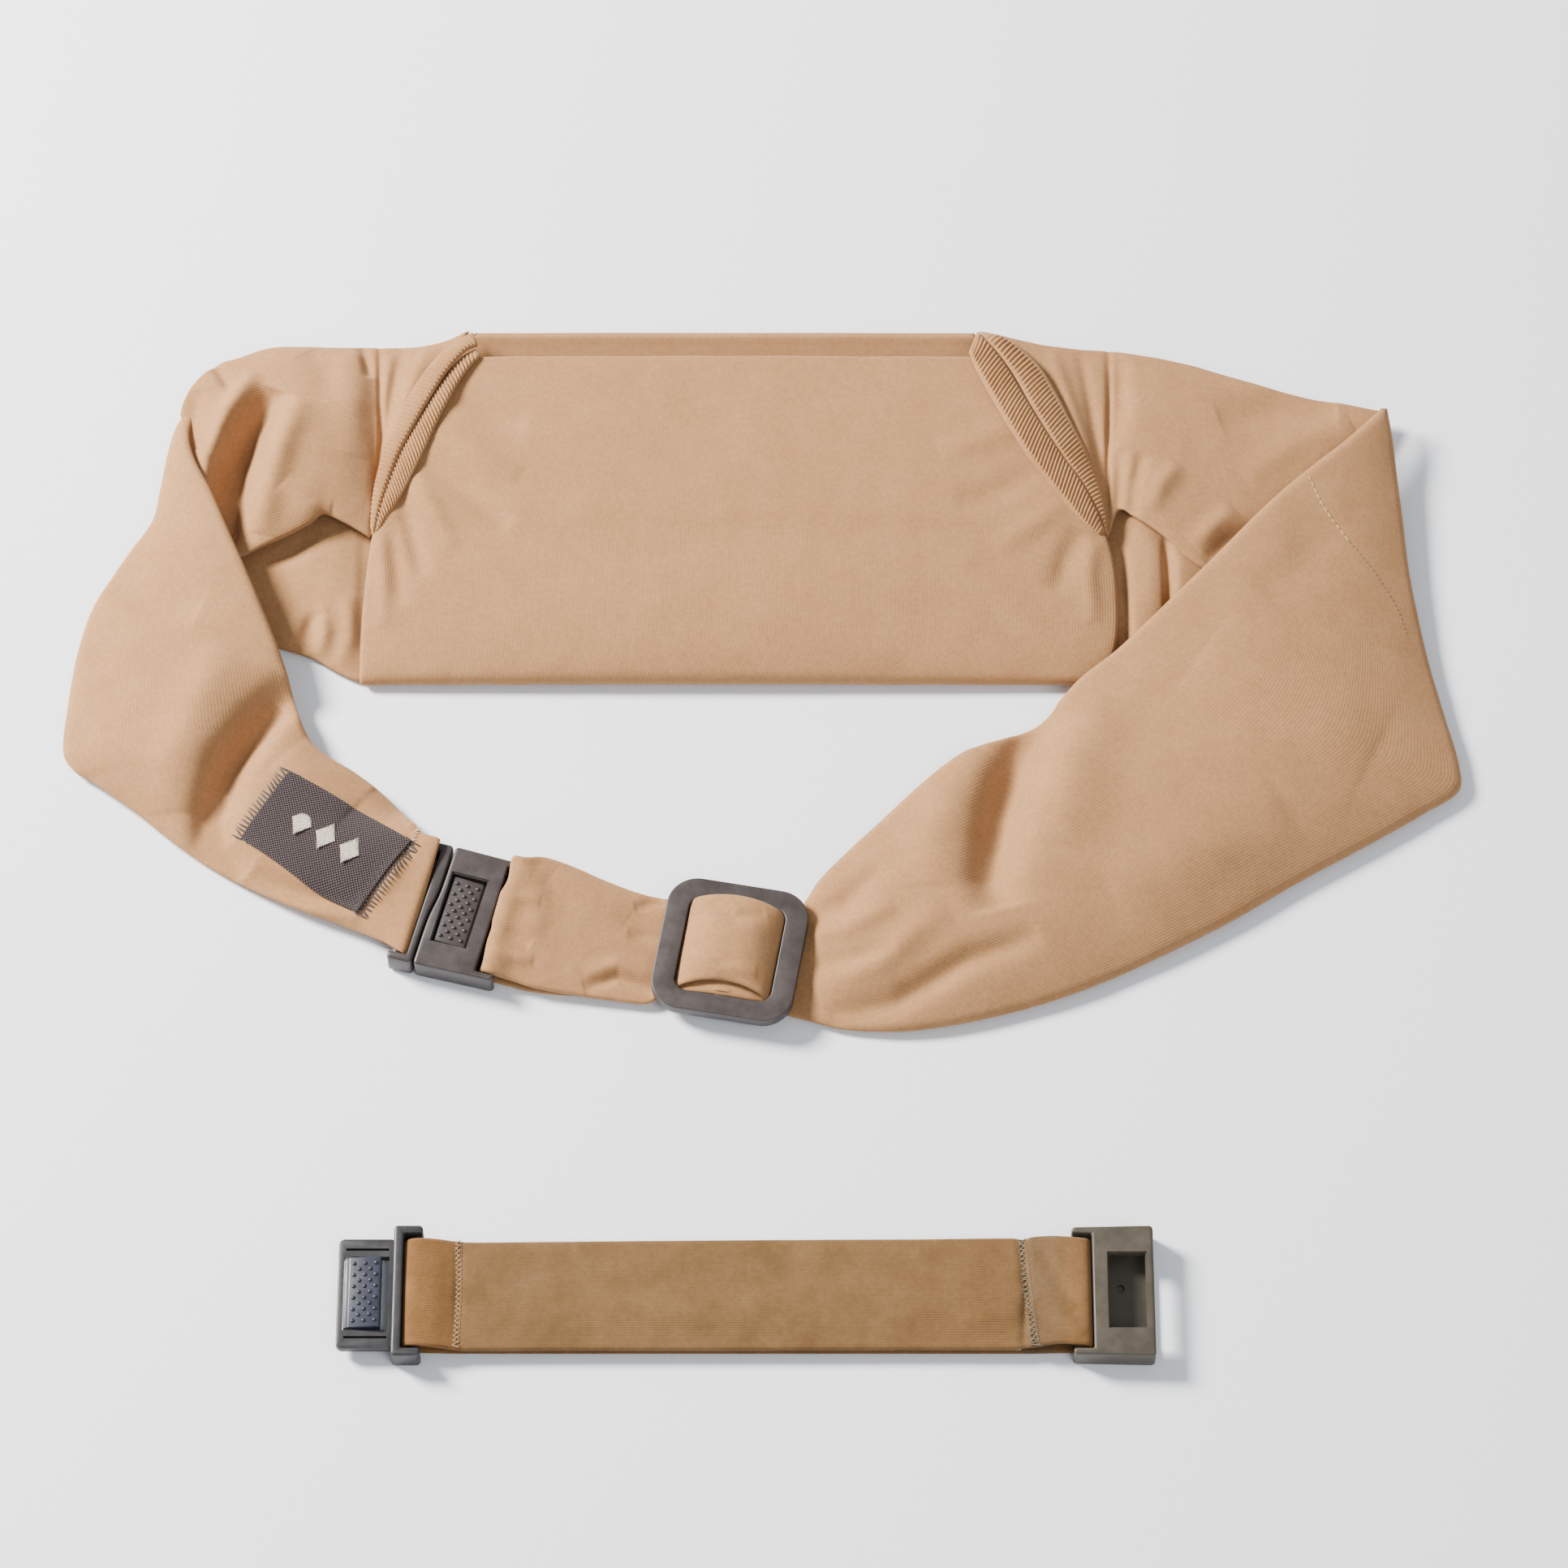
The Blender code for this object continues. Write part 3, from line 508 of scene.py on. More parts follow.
# The front panel: it rolls under at the bottom fold and ends in a rolled mouth.
def pocketFront():
    left = [(-124.4, -57.5, 0.9), (-124.8, -60.6, 1.4), (-125.2, -61.9, 2.8), (-125.4, -60.0, 4.2),
        (-125.4, -50.4, 5.2), (-124.8, -33.1, 6.8), (-122.6, -10.0, 8.4), (-119.4, -0.9, 10.0),
        (-112.7, 13.9, 11.6), (-103.2, 38.3, 13.0), (-95.0, 53.0, 13.8), (-90.0, 57.0, 14.2)]
    right = [(112.0, -57.5, 0.9), (113.6, -60.6, 1.4), (115.5, -61.9, 2.6), (118.0, -60.0, 3.6),
        (123.6, -50.4, 4.6), (124.6, -28.4, 6.6), (121.9, -10.6, 8.4), (118.2, -4.9, 9.6),
        (107.8, 7.4, 11.6), (92.4, 32.6, 13.2), (81.8, 52.1, 14.0), (78.6, 57.0, 14.2)]
    crowns = [0.2, 0.4, 1.2, 2.6, 4.6, 5.2, 4.8, 4.2, 3.0, 2.0, 1.4, 0.9]
    cfg = {"rows": pocket["rows"], "cols": pocket["cols"], "half": pocket["half"],
        "archPower": 0.45, "seed": 3.0, "ripple": 0.35, "rippleSize": 30.0, "endRoll": "far",
        "floor": 0.05, "folds": [([(-114, 8), (-110, -6), (-105, -26)], 3.0, -1.7),
        ([(-109, 12), (-103, 0), (-95, -16)], 3.2, 1.2),
        ([(-107, 18), (-93, 6), (-77, -8)], 3.4, -1.5),
        ([(-102, 30), (-89, 20), (-74, 10)], 4.0, 1.1),
        ([(-98, 42), (-86, 35), (-72, 30)], 3.8, -1.3),
        ([(-120, -8), (-118, -26), (-118, -44)], 2.6, 1.0),
        ([(-116, -4), (-114, -20), (-112, -36)], 2.6, -1.0),
        ([(117, -12), (115, -24), (116, -42)], 3.0, 1.1),
        ([(113, -8), (108, -18), (104, -32)], 3.6, -1.3),
        ([(108, 2), (96, -8), (84, -16)], 4.0, 0.9), ([(100, 14), (88, 6), (72, 0)], 4.6, -1.0),
        ([(92, 30), (80, 24), (66, 20)], 4.4, 0.8), ([(-60, -30), (0, -36), (60, -28)], 16.0,
        0.8),],}
    stations = list(zip(left, right, crowns))
    obj, cut = clothPiece("pocket_front", stations, cfg, tanJersey)
    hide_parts("pocket_front_panel")
    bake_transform(obj)
    declareSheet(obj, cut, "laid")


def pocketBack():
    stations = []
    for y, z, lx, rx, crown in ((-58.5, 0.9, -118, 112, 0), (-40, 0.9, -119.5, 119, 0),
            (0, 0.9, -119.5, 118.5, 0), (36, 1.0, -119, 118.5, 0), (50, 2.0, -115, 112, 0.2),
            (60, 5.0, -104, 95, 0.4), (66, 8.0, -93, 82, 0.3), (69, 10.4, -90, 78.5, 0.2)):
        stations.append(((lx, y, z), (rx, y, z), crown))
    cfg = {"rows": 70, "cols": 90, "half": 0.7, "seed": 9.0, "ripple": 0.12, "rippleSize": 30.0,
        "endRoll": "far", "floor": 0.0}
    obj, cut = clothPiece("pocket_back", stations, cfg, tanJersey, "belt")
    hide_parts("pocket_back_panel")
    declareSheet(obj, cut, "laid")


# A stretched hem that runs from the mouth to the pinch: a rolled strip with fine ribs across it.
def ribbedBand(name, edges, cfg, body, node):
    path = smoothPath([[*a, *b] for a, b in edges], cfg["rows"])
    t = acrossSteps(cfg["cols"])
    a, b = path[:, None, 0:3], path[:, None, 3:6]
    grid = a + (b - a) * t[None, :, None]
    width = np.linalg.norm(path[:, 3:6] - path[:, 0:3], axis=1)[:, None]
    run = np.concatenate([[0], np.cumsum(np.linalg.norm(np.diff((path[:, 0:3] + path[:, 3:6]) / 2,
        axis=0), axis=1))])
    slant = run[:, None] + cfg["slant"] * t[None, :] * width
    ribs = 2 * np.abs(np.sin(math.pi * slant / cfg["pitch"])) - 1
    cover = np.clip((t[None, :] - cfg["ribFrom"]) / 0.08, 0,
        1) * np.clip((cfg["ribTo"] - t[None, :]) / 0.08, 0, 1)
    grid[..., 2] += cfg["crown"] * np.sin(math.pi * t)[None, :] ** 0.7 * np.clip(width / 6.0, 0.2,
        1)
    cut = cutSize(grid)
    fromEnd = np.minimum(run, run[-1] - run)[:, None]
    rolled = roll(np.minimum(t, 1 - t)[None, :] * width, cfg["half"] * 1.3) * roll(fromEnd,
        cfg["half"] * 1.6)
    raised = cfg["relief"] * ribs * cover * rolled * np.clip(fromEnd / cfg["ribFade"], 0, 1)
    obj = closedCloth(name, grid, cfg["half"] * rolled, tanHem, body, raised)
    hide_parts(node)
    declareSheet(obj, cut, "folded")


bandShape = {"rows": 420, "cols": 22, "half": 1.0, "pitch": 1.55, "slant": 0.25, "relief": 0.36,
    "crown": 0.9, "ribFrom": 0.06, "ribTo": 0.9, "ribFade": 5.0}

leftBandEdges = [((-90.4, 66, 15.4), (-88.6, 60, 16.4)), ((-96.9, 61.2, 15.4), (-92.6, 57.4, 17)),
    ((-103, 55, 15.2), (-98, 50.4, 17)), ((-108.8, 46.4, 14.6), (-103.2, 41.4, 16.4)),
    ((-113.9, 35.6, 13.8), (-108.6, 30.6, 15.4)), ((-118, 25.7, 12.8), (-113.4, 20.6, 14.2)),
    ((-120.7, 14.7, 11.8), (-117, 10.4, 12.8)), ((-122.3, 4.3, 10.6), (-119.8, 0.6, 11.4)),
    ((-122.9, -7.6, 9.6), (-121.8, -9.2, 9.8))]
leftInnerEdges = [((-89.2, 59.6, 15), (-87.6, 56.4, 15.6)), ((-94, 56.2, 15), (-91.2, 52, 15.8)),
    ((-99.6, 48, 15), (-96, 43.4, 15.6)), ((-104.8, 38.6, 14.6), (-100.9, 32.6, 15)),
    ((-110.2, 28, 13.8), (-105.8, 20, 14.2)), ((-114.6, 18.4, 12.8), (-110.2, 9.6, 13.2)),
    ((-117.8, 8.4, 11.6), (-114.4, 1.4, 11.8)), ((-120.4, -1, 10.4), (-118.6, -5, 10.4)),
    ((-122, -8.6, 9.2), (-121.2, -9.8, 9.2))]
rightBandEdges = [((79.4, 66, 16), (76.6, 57.6, 16)), ((85.6, 57.2, 16.6), (78.6, 50.9, 16.4)),
    ((90.7, 48.3, 16.8), (82.9, 41.2, 16.4)), ((95.6, 38.2, 16.6), (88.3, 30.3, 16)),
    ((100.9, 28.2, 16), (94.3, 19.3, 15.4)), ((106.7, 18.4, 15), (101.2, 9.3, 14.2)),
    ((112.9, 9.1, 13.6), (107.7, 0.8, 12.8)), ((117.6, -0.6, 11.8), (114, -6.1, 11.2)),
    ((120.9, -8.7, 9.8), (119.2, -10.1, 9.8))]
rightOuterEdges = [((86.5, 65, 14.6), (80.4, 64.8, 15.6)), ((93.2, 60.1, 15), (86, 57.2, 16)),
    ((100.7, 51.6, 15), (91.2, 48.2, 16.2)), ((105.4, 42.6, 14.8), (96, 37.6, 16)),
    ((110.2, 31.8, 14.2), (101.6, 26.9, 15.4)), ((115.2, 20.4, 13), (107.2, 17.1, 14.4)),
    ((118.8, 9.6, 11.6), (113.4, 8, 12.8)), ((121, -1.4, 10.2), (118, -1.8, 11)),
    ((121.8, -9.4, 9.2), (121, -9.2, 9.4))]


sideCloth = {"rows": 110, "cols": 90, "half": 0.9, "even": 8}

leftFlapStations = [((-188.2, 38.6, 7.6), (-179.2, -1.4, 5), 2),
    ((-186.9, 44.3, 8.4), (-175.5, -12, 6), 2.6), ((-183.9, 50.1, 8.6), (-171.4, -16.3, 7), 3),
    ((-177.4, 56.8, 9), (-166.4, -17.5, 8.4), 3.2), ((-170.1, 59.4, 9), (-159.5, -14.4, 9.4), 4.4),
    ((-159.9, 63.4, 8.6), (-150, -10, 10.2), 6.6), ((-148.9, 63.9, 8.6), (-142.8, -5.9, 10.8), 7.4),
    ((-138, 63.6, 8.6), (-138.3, -2.8, 10.8), 6.8), ((-128.4, 63.6, 8.8), (-131.6, -5.3, 10), 4.8),
    ((-122.6, 63.6, 9.2), (-123.5, -9.6, 8.2), 2.2)]
leftFlapFolds = [([(-156, 44), (-163.5, 30), (-168, 16), (-169.5, 2), (-170, -16)], 5, -12),
    ([(-172, 18), (-174, 4), (-174, -10)], 4, -3.5), ([(-147, 40), (-152, 24), (-156, 8),
    (-160, -10)], 5, 3.4), ([(-163, 52), (-172, 36), (-178, 18), (-179, 4)], 3.8, 3.4),
    ([(-178.5, 58), (-174, 51), (-171, 45)], 2, -2), ([(-183, 46), (-184, 34), (-182, 22)], 3.6,
    -2), ([(-152, 6), (-144, -1), (-136, -2)], 3.4, 1.4),
    ([(-147, 60), (-140, 50), (-138, 38)], 6, -1.2), ([(-128, 63), (-126.5, 56), (-125.5, 50)], 1.8,
    -1.8), ([(-134, 60), (-130, 40), (-128, 18)], 6, 1.2),]
rightFlapFolds = [([(124, -6), (126, 6), (127, 22)], 2.2, -2),
    ([(150, -14), (156, -8), (164, 0)], 3.4, 1.4), ([(154, -20), (161, -12), (172, -6)], 3, -1.4),
    ([(128, 58), (128, 40), (126, 24)], 3, -1.4), ([(200, 40), (180, 40), (160, 34)], 7, -1.6),
    ([(205, 34), (186, 26), (168, 12)], 6, 1.2), ([(136, -2), (140, 8), (146, 16)], 3.4, 1.4),
    ([(130, -4), (131, 8), (134, 20)], 2.4, -1.6)]
leftGussetStations = [((-123.4, 63.6, 9.2), (-123.6, -9.6, 8), 1.4),
    ((-116.3, 63.2, 9.8), (-123.3, -9.3, 8), 2.4), ((-107.4, 63, 11), (-123, -9.1, 8.1), 3),
    ((-99, 64.4, 12.4), (-122.8, -9, 8.2), 2.8), ((-91.6, 67.6, 14), (-122.4, -8.9, 8.3), 2)]
leftLowerStations = [((-170, -8, 2.8), (-160.7, -44.2, 2), 1),
    ((-162, 4, 3), (-153.8, -48, 2), 1.6), ((-152.3, 9, 3.2), (-147.3, -50.2, 2), 2.2),
    ((-144.3, 11, 3.4), (-140.3, -52.8, 2), 2.6), ((-136.2, 11, 3.6), (-134.8, -56.5, 2), 2.6),
    ((-129, 6, 3.8), (-129, -59.7, 1.9), 1.8), ((-125.4, 0, 3.6), (-125.6, -60.8, 1.8), 0.6),
    ((-122, -3, 3.4), (-122.4, -60.6, 1.8), 0.2)]
rightFlapStations = [((124.2, 62.3, 9.2), (122, -9.6, 8.2), 2),
    ((131.7, 61, 9.2), (125.6, 0.4, 10), 3), ((141.3, 59.1, 9.2), (132.6, -4.5, 10.6), 3.2),
    ((152.1, 56.5, 9), (141.1, -11.2, 10.2), 2.8), ((162.9, 53, 8.8), (148.5, -18.7, 9), 2.4),
    ((176.5, 48.7, 8.4), (156.5, -22.8, 7.8), 2), ((190, 45.1, 7.8), (168.7, -19.7, 6.6), 1.6),
    ((203.5, 42.4, 7.4), (184.7, -5.9, 5.8), 1.2), ((214.5, 40.3, 6.6), (201.7, 12.8, 5.6), 0.8)]
rightGussetStations = [((80, 67.4, 14), (121.4, -8.2, 8.3), 2),
    ((90, 65.6, 12.6), (121.6, -8.5, 8.2), 2.4), ((101, 63.6, 11.2), (121.8, -8.8, 8.1), 2.6),
    ((113, 62.6, 10), (122, -9.2, 8), 2.2), ((123.4, 62.3, 9.2), (122.2, -9.6, 8), 1.6)]
rightLowerStations = [((121, -2, 3.4), (121.6, -58, 1.8), 0.2),
    ((125, 4, 3.6), (125.6, -57.4, 1.9), 1), ((130, 12, 4), (129.6, -55.5, 2.2), 2.8),
    ((135.7, 10, 4.2), (135, -51.8, 2.4), 3.4), ((140.6, 2, 4.2), (140.4, -46, 2.6), 2.6),
    ((144.6, -4, 5), (144, -43, 3), 2.6), ((151.3, -8, 4.8), (151.2, -37.1, 3), 1.8),
    ((159.9, -13, 4.2), (159.5, -29.9, 2.8), 0.8)]

leftSeamFold = ([(-122.2, 66), (-121, 40), (-120.1, 27), (-120.9, 9), (-122.9, -9), (-123.2, -12)],
    1.1, -1.5)
rightSeamFold = ([(123.8, 64), (123.5, 40), (122.6, 20), (122.4, 4), (122.2, -10)], 1.1, -1.4)
leftGussetFolds = [([(-114, 63), (-117.5, 44), (-120.5, 22), (-122.4, 0)], 2.4, -1.5),
    ([(-106, 62), (-111.5, 44), (-117.5, 18), (-122, -4)], 2.2, 1.2),
    ([(-100, 62), (-107, 40), (-115, 14)], 2.4, -1.2),
    ([(-118, 60), (-119.5, 40), (-121, 16)], 2, 1)]
rightGussetFolds = [([(92, 62), (101, 44), (111, 18), (119, -2)], 2.6, -1.2),
    ([(104, 61), (110, 40), (117, 14), (121, -4)], 2.4, 1.1),
    ([(114, 61), (117, 40), (120, 16), (121.8, -4)], 2, -1.1)]
lowerFolds = {"left": [([(-146, -50), (-142, -40), (-138, -36)], 2.4, -2),
    ([(-139, -52), (-137, -44), (-140, -34)], 2.6, 1.6),
    ([(-160, -20), (-148, -12), (-140, -4)], 4, -1.6),
    ([(-132, -56), (-129, -46), (-130, -30)], 2.6, 1.2)],
    "right": [([(141.5, -8), (142, -26), (142, -45)], 2, -2.6),
    ([(127, -12), (127.5, -34), (128, -55)], 1.8, -1.6)]}


def sideSections():
    left, cut = clothPiece("left_flap", leftFlapStations + leftGussetStations[1:],
        {**sideCloth, "cols": 120, "rows": 170, "seed": 4.0, "archPower": 0.6, "endRoll": "both",
        "folds": leftFlapFolds + leftGussetFolds + [leftSeamFold]}, tanJersey, "belt")
    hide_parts("left_side_flap", "left_flap_hem")
    declareSheet(left, cut, "gathered")
    lower, cut = clothPiece("left_lower", leftLowerStations,
        {**sideCloth, "rows": 80, "cols": 70, "seed": 6.0, "archPower": 0.7,
        "folds": lowerFolds["left"]}, tanJersey, "belt")
    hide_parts("left_side_pocket")
    declareSheet(lower, cut, "laid")
    right, cut = clothPiece("right_flap", rightGussetStations[:-1] + rightFlapStations,
        {**sideCloth, "cols": 120, "rows": 180, "seed": 7.0, "archPower": 0.6, "endRoll": "both",
        "folds": rightFlapFolds + rightGussetFolds + [rightSeamFold]}, tanJersey, "belt")
    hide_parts("right_side_flap")
    declareSheet(right, cut, "gathered")
    rightLower, cut = clothPiece("right_lower", rightLowerStations,
        {**sideCloth, "rows": 80, "cols": 60, "seed": 9.0, "folds": lowerFolds["right"]}, tanJersey,
        "belt")
    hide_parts("right_side_pocket")
    declareSheet(rightLower, cut, "laid")


buckleAt = (-98.4, -146.7, 0.5)
buckleTurn = -15.0
adjusterAt = (-3.0, -162.6, 0.0)
adjusterTurn = -10.0


def inFrame(at, turn, x, y, z):
    a = math.radians(turn)
    return (at[0] + x * math.cos(a) - y * math.sin(a), at[1] + x * math.sin(a) + y * math.cos(a),
        at[2] + z)


def buckleRow(x, halfLow, halfHigh, zLow, zHigh, crown, half):
    return (inFrame(buckleAt, buckleTurn, x, -halfLow, zLow),
        inFrame(buckleAt, buckleTurn, x, halfHigh, zHigh), crown, half)


leftWingStations = [((-185.4, 42.4, 6.2), (-183.4, 40.5, 6.6), 0.2, 0.9),
    ((-189.3, 34, 7), (-184.9, 29, 10.4), 0.6, 1.5), ((-191.6, 23, 7.6), (-182.4, 17.6, 13.6), 1.2),
    ((-193.7, 8.2, 7.4), (-176, 3.9, 15.6), 1.8), ((-195.9, -3.2, 6.6), (-170.2, -9.9, 16), 2.4),
    ((-203.4, -15.1, 5.4), (-164, -24.3, 15.6), 3.2),
    ((-213.6, -33.2, 4), (-154.9, -46, 13.2), 4.6), ((-218.4, -51, 3), (-149, -61.4, 10.4), 6),
    ((-220.6, -70.4, 2.4), (-144.2, -77.4, 7.6), 7.4),
    ((-221.2, -88, 2.2), (-140.6, -85.6, 6.4), 8.4), ((-217.6, -94.4, 2.2), (-137, -89.6, 6.1),
    8.6), ((-212.3, -98.1, 2.2), (-132.8, -93, 5.8), 8.6),
    ((-197.2, -109.4, 2.2), (-124.7, -98, 5.2), 8), ((-184.2, -120.7, 2.2), (-116.1, -104.8, 4.6),
    7.2), ((-169, -131.4, 2.2), (-110.9, -110.2, 4.6), 6.6),
    ((-152.6, -141, 2.4), (-108.7, -112.6, 5.6), 6, 1.6),
    ((-139.4, -147.4, 2.8), (-106.8, -115.2, 7.6), 4.8, 1.5),
    ((-127.4, -152.2, 3.6), (-105, -117.9, 9.4), 3.4, 1.3),
    (inFrame(buckleAt, buckleTurn, -12.6, -15.4, 5), inFrame(buckleAt, buckleTurn, -11, 23.2, 10.4),
    1.6, 1), buckleRow(-8.6, 17, 22.6, 6, 11, 0.8, 0.8),
    buckleRow(-5.2, 18.3, 22.5, 6.4, 11, 0.4, 0.75), buckleRow(-4.1, 18.4, 22, 4.9, 10.8, 0.2, 0.6)]
leftWingFolds = [([(-146, -66), (-157, -80), (-166, -97), (-170.5, -113), (-170, -125),
    (-160, -134)], 6, -9), ([(-150, -74), (-160, -86), (-168, -104)], 4, -2.5),
    ([(-168, -56), (-178, -78), (-184, -98), (-184, -112)], 8, 2.6),
    ([(-150, -96), (-140, -104), (-126, -114)], 9, 1.8),
    ([(-158, -140), (-140, -147), (-122, -151)], 3, 1.6),
    ([(-160, -132), (-142, -140), (-122, -146)], 3.2, -2.4),
    ([(-208, -22), (-194, -36), (-178, -42)], 7, -1.8),
    ([(-120, -104), (-112, -112), (-106, -118)], 2.8, -1.3),
    ([(-118, -146), (-112, -138), (-108, -130)], 2.6, 0.8),]
rightWingStations = [((214.4, 38.9, 10), (216.8, 39.2, 9), 0.3, 1.2),
    ((209.9, 33.5, 11.6), (218.1, 27, 7.6), 0.6), ((201, 24.3, 12.8), (219, 15.4, 6.6), 1),
    ((192, 16.2, 13.6), (220.3, -1.5, 5.6), 1.4), ((180.8, 5.7, 14.2), (221.6, -21.4, 4.6), 2),
    ((169.6, -6, 14.6), (224.2, -40.6, 3.6), 3), ((153.6, -23.9, 14.6), (227.2, -58.1, 2.8), 4.4),
    ((140.4, -37.8, 13.8), (231.4, -77.1, 2.4), 5.6),
    ((123.4, -54.6, 11.6), (234.8, -93.6, 2.3), 7), ((111, -64.5, 9.6), (234.1, -102.3, 2.3), 8),
    ((100, -76.7, 7.6), (222.6, -110.3, 2.3), 9), ((85.4, -84.7, 6.6), (204.9, -121.3, 2.3), 9.6),
    ((72, -90.9, 6), (180.7, -135.5, 2.3), 9.8), ((57.4, -103.1, 5.4), (153.9, -152.3, 2.3), 9.4),
    ((44.1, -116.5, 5), (114.2, -172.6, 2.3), 8.6), ((33.5, -127.2, 4.6), (85.4, -182.7, 2.3), 7.4),
    ((25.6, -136, 4.2), (56.8, -188.5, 2.3), 5.4, 1.6),
    ((21.4, -142.6, 3.4), (34.8, -188.2, 2.3), 2.4, 1.3),
    ((18, -145.8, 2.8), (21.2, -184.8, 2.3), 0.5, 1.1),
    ((11, -147.6, 2.6), (6.6, -180.6, 2.6), 0, 0.9)]
rightWingFolds = [([(102, -72), (92, -92), (85, -114), (81, -138), (84, -150)], 7.5, -9.5),
    ([(78, -90), (68, -104), (62, -124), (62, -142)], 8, 2.2),
    ([(120, -72), (110, -96), (103, -128)], 10, 2.6),
    ([(28, -184), (50, -180), (74, -166), (96, -158)], 4, -2.6),
    ([(24, -176), (44, -168), (66, -150)], 5, 2), ([(24, -150), (34, -146), (46, -134)], 4, -1.8),
    ([(23, -156), (34, -156), (50, -148)], 3.6, 1.4),
    ([(24, -166), (36, -166), (50, -162)], 3.2, -1.3),
    ([(150, -60), (180, -80), (206, -92)], 16, 1.6), ([(176, -112), (150, -128), (120, -144)], 14,
    1.6), ([(196, -4), (186, -24), (172, -38)], 9, -1),]
wingCloth = {"rows": 260, "cols": 100, "half": 1.7, "rollRadius": 3.4, "archPower": 0.75}


def wings():
    left, cut = clothPiece("left_wing_cloth", leftWingStations,
        {**wingCloth, "seed": 11.0, "folds": leftWingFolds, "ripple": 0.35, "rippleSize": 24.0},
        tanJersey)
    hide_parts("left_wing")
    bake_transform(left)
    declareSheet(left, cut, "folded")
    right, cut = clothPiece("right_wing_cloth", rightWingStations,
        {**wingCloth, "cols": 120, "seed": 12.0, "folds": rightWingFolds, "ripple": 0.35,
        "rippleSize": 26.0}, tanJersey)
    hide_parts("right_wing", "wing_throat")
    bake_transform(right)
    declareSheet(right, cut, "folded")
    return left, right


# A function that reads the height of the piece's upper face over a point, all in mm.
def topOf(obj):
    bm = bmesh.new()
    bm.from_mesh(obj.data)
    tree = BVHTree.FromBMesh(bm)
    bm.free()

    def height(x, y, missing=None):
        hit = tree.ray_cast(Vector((x * mm, y * mm, rayStart)), Vector((0, 0, -1)))
        return hit[0].z / mm if hit[0] else missing
    return height


def socketId(group, name):
    return next(i.identifier for i in group.interface.items_tree if i.name == name)


def groupWith(name, inputs):
    group = bpy.data.node_groups.new(name, "GeometryNodeTree")
    group.interface.new_socket("Geometry", in_out="INPUT", socket_type="NodeSocketGeometry")
    group.interface.new_socket("Geometry", in_out="OUTPUT", socket_type="NodeSocketGeometry")
    for label, kind in inputs:
        group.interface.new_socket(label, in_out="INPUT", socket_type=kind)
    return group, group.nodes.new("NodeGroupInput"), group.nodes.new("NodeGroupOutput")


# Ends a group: copies on points, made real, smooth and in their material.
def instanced(group, made, links, finish):
    copies = addNode(group, "GeometryNodeInstanceOnPoints", links)
    real = addNode(group, "GeometryNodeRealizeInstances", {"Geometry": copies.outputs[0]})
    shade = addNode(group, "GeometryNodeSetShadeSmooth", {"Geometry": real.outputs[0]},
        {"Shade Smooth": True})
    done = addNode(group, "GeometryNodeSetMaterial", {"Geometry": shade.outputs[0],
        "Material": finish})
    group.links.new(done.outputs[0], made.inputs["Geometry"])
    return group


# Threads along a line: each is a thin spindle, turned from the line by Swing, first one way and
# then the other.
def makeStitchGroup():
    number = "NodeSocketFloat"
    group, given, made = groupWith("stitch_row", [(n, number) for n in ("Pitch", "Length", "Width",
        "Swing", "Alternate", "Taper", "Jitter")] + [("Thread", "NodeSocketMaterial")])
    line = addNode(group, "GeometryNodeResampleCurve",
        {"Curve": given.outputs["Geometry"], "Length": given.outputs["Pitch"]}, mode="LENGTH")
    tangent = addNode(group, "GeometryNodeInputTangent")
    normal = addNode(group, "GeometryNodeInputNormal")
    part = addNode(group, "GeometryNodeSplineParameter")
    index = addNode(group, "GeometryNodeInputIndex")
    even = mathNode(group, "MODULO", index.outputs[0], 2.0)
    side = mathNode(group, "MULTIPLY_ADD", even.outputs[0], -2.0, 1.0)
    one = addNode(group, "ShaderNodeMix", {"Factor": given.outputs["Alternate"],
        "B": side.outputs[0]}, {"A": 1.0}, data_type="FLOAT")
    noiseTurn = addNode(group, "FunctionNodeRandomValue", {"Seed": index.outputs[0]},
        {"Min": -1.0, "Max": 1.0}, data_type="FLOAT")
    wobble = mathNode(group, "MULTIPLY", noiseTurn.outputs[1], given.outputs["Jitter"])
    swing = mathNode(group, "MULTIPLY_ADD", one.outputs[0], given.outputs["Swing"],
        wobble.outputs[0])
    turned = addNode(group, "ShaderNodeVectorRotate",
        {"Vector": tangent.outputs[0], "Angle": swing.outputs[0]}, {"Axis": (0, 0, 1)},
        rotation_type="AXIS_ANGLE")
    face = addNode(group, "FunctionNodeAlignEulerToVector", {"Vector": turned.outputs[0]}, axis="X",
        pivot_axis="Z")
    fold = mathNode(group, "MULTIPLY_ADD", part.outputs["Factor"], 2.0, -1.0)
    fold = mathNode(group, "ABSOLUTE", fold.outputs[0])
    thin = mathNode(group, "MULTIPLY", fold.outputs[0], given.outputs["Taper"])
    thin = mathNode(group, "SUBTRACT", 1.06, thin.outputs[0])
    long = mathNode(group, "MULTIPLY", given.outputs["Length"], thin.outputs[0])
    size = addNode(group, "ShaderNodeCombineXYZ", {"X": long.outputs[0],
        "Y": given.outputs["Width"], "Z": given.outputs["Width"]})
    thread = addNode(group, "GeometryNodeMeshUVSphere", None,
        {"Segments": 10, "Rings": 8, "Radius": 0.5})
    spindle = addNode(group, "GeometryNodeTransform", {"Geometry": thread.outputs["Mesh"]},
        {"Rotation": (0, math.pi / 2, 0)})
    links = {"Points": line.outputs[0], "Instance": spindle.outputs[0], "Rotation": face.outputs[0],
        "Scale": size.outputs[0]}
    return instanced(group, made, links, given.outputs["Thread"])


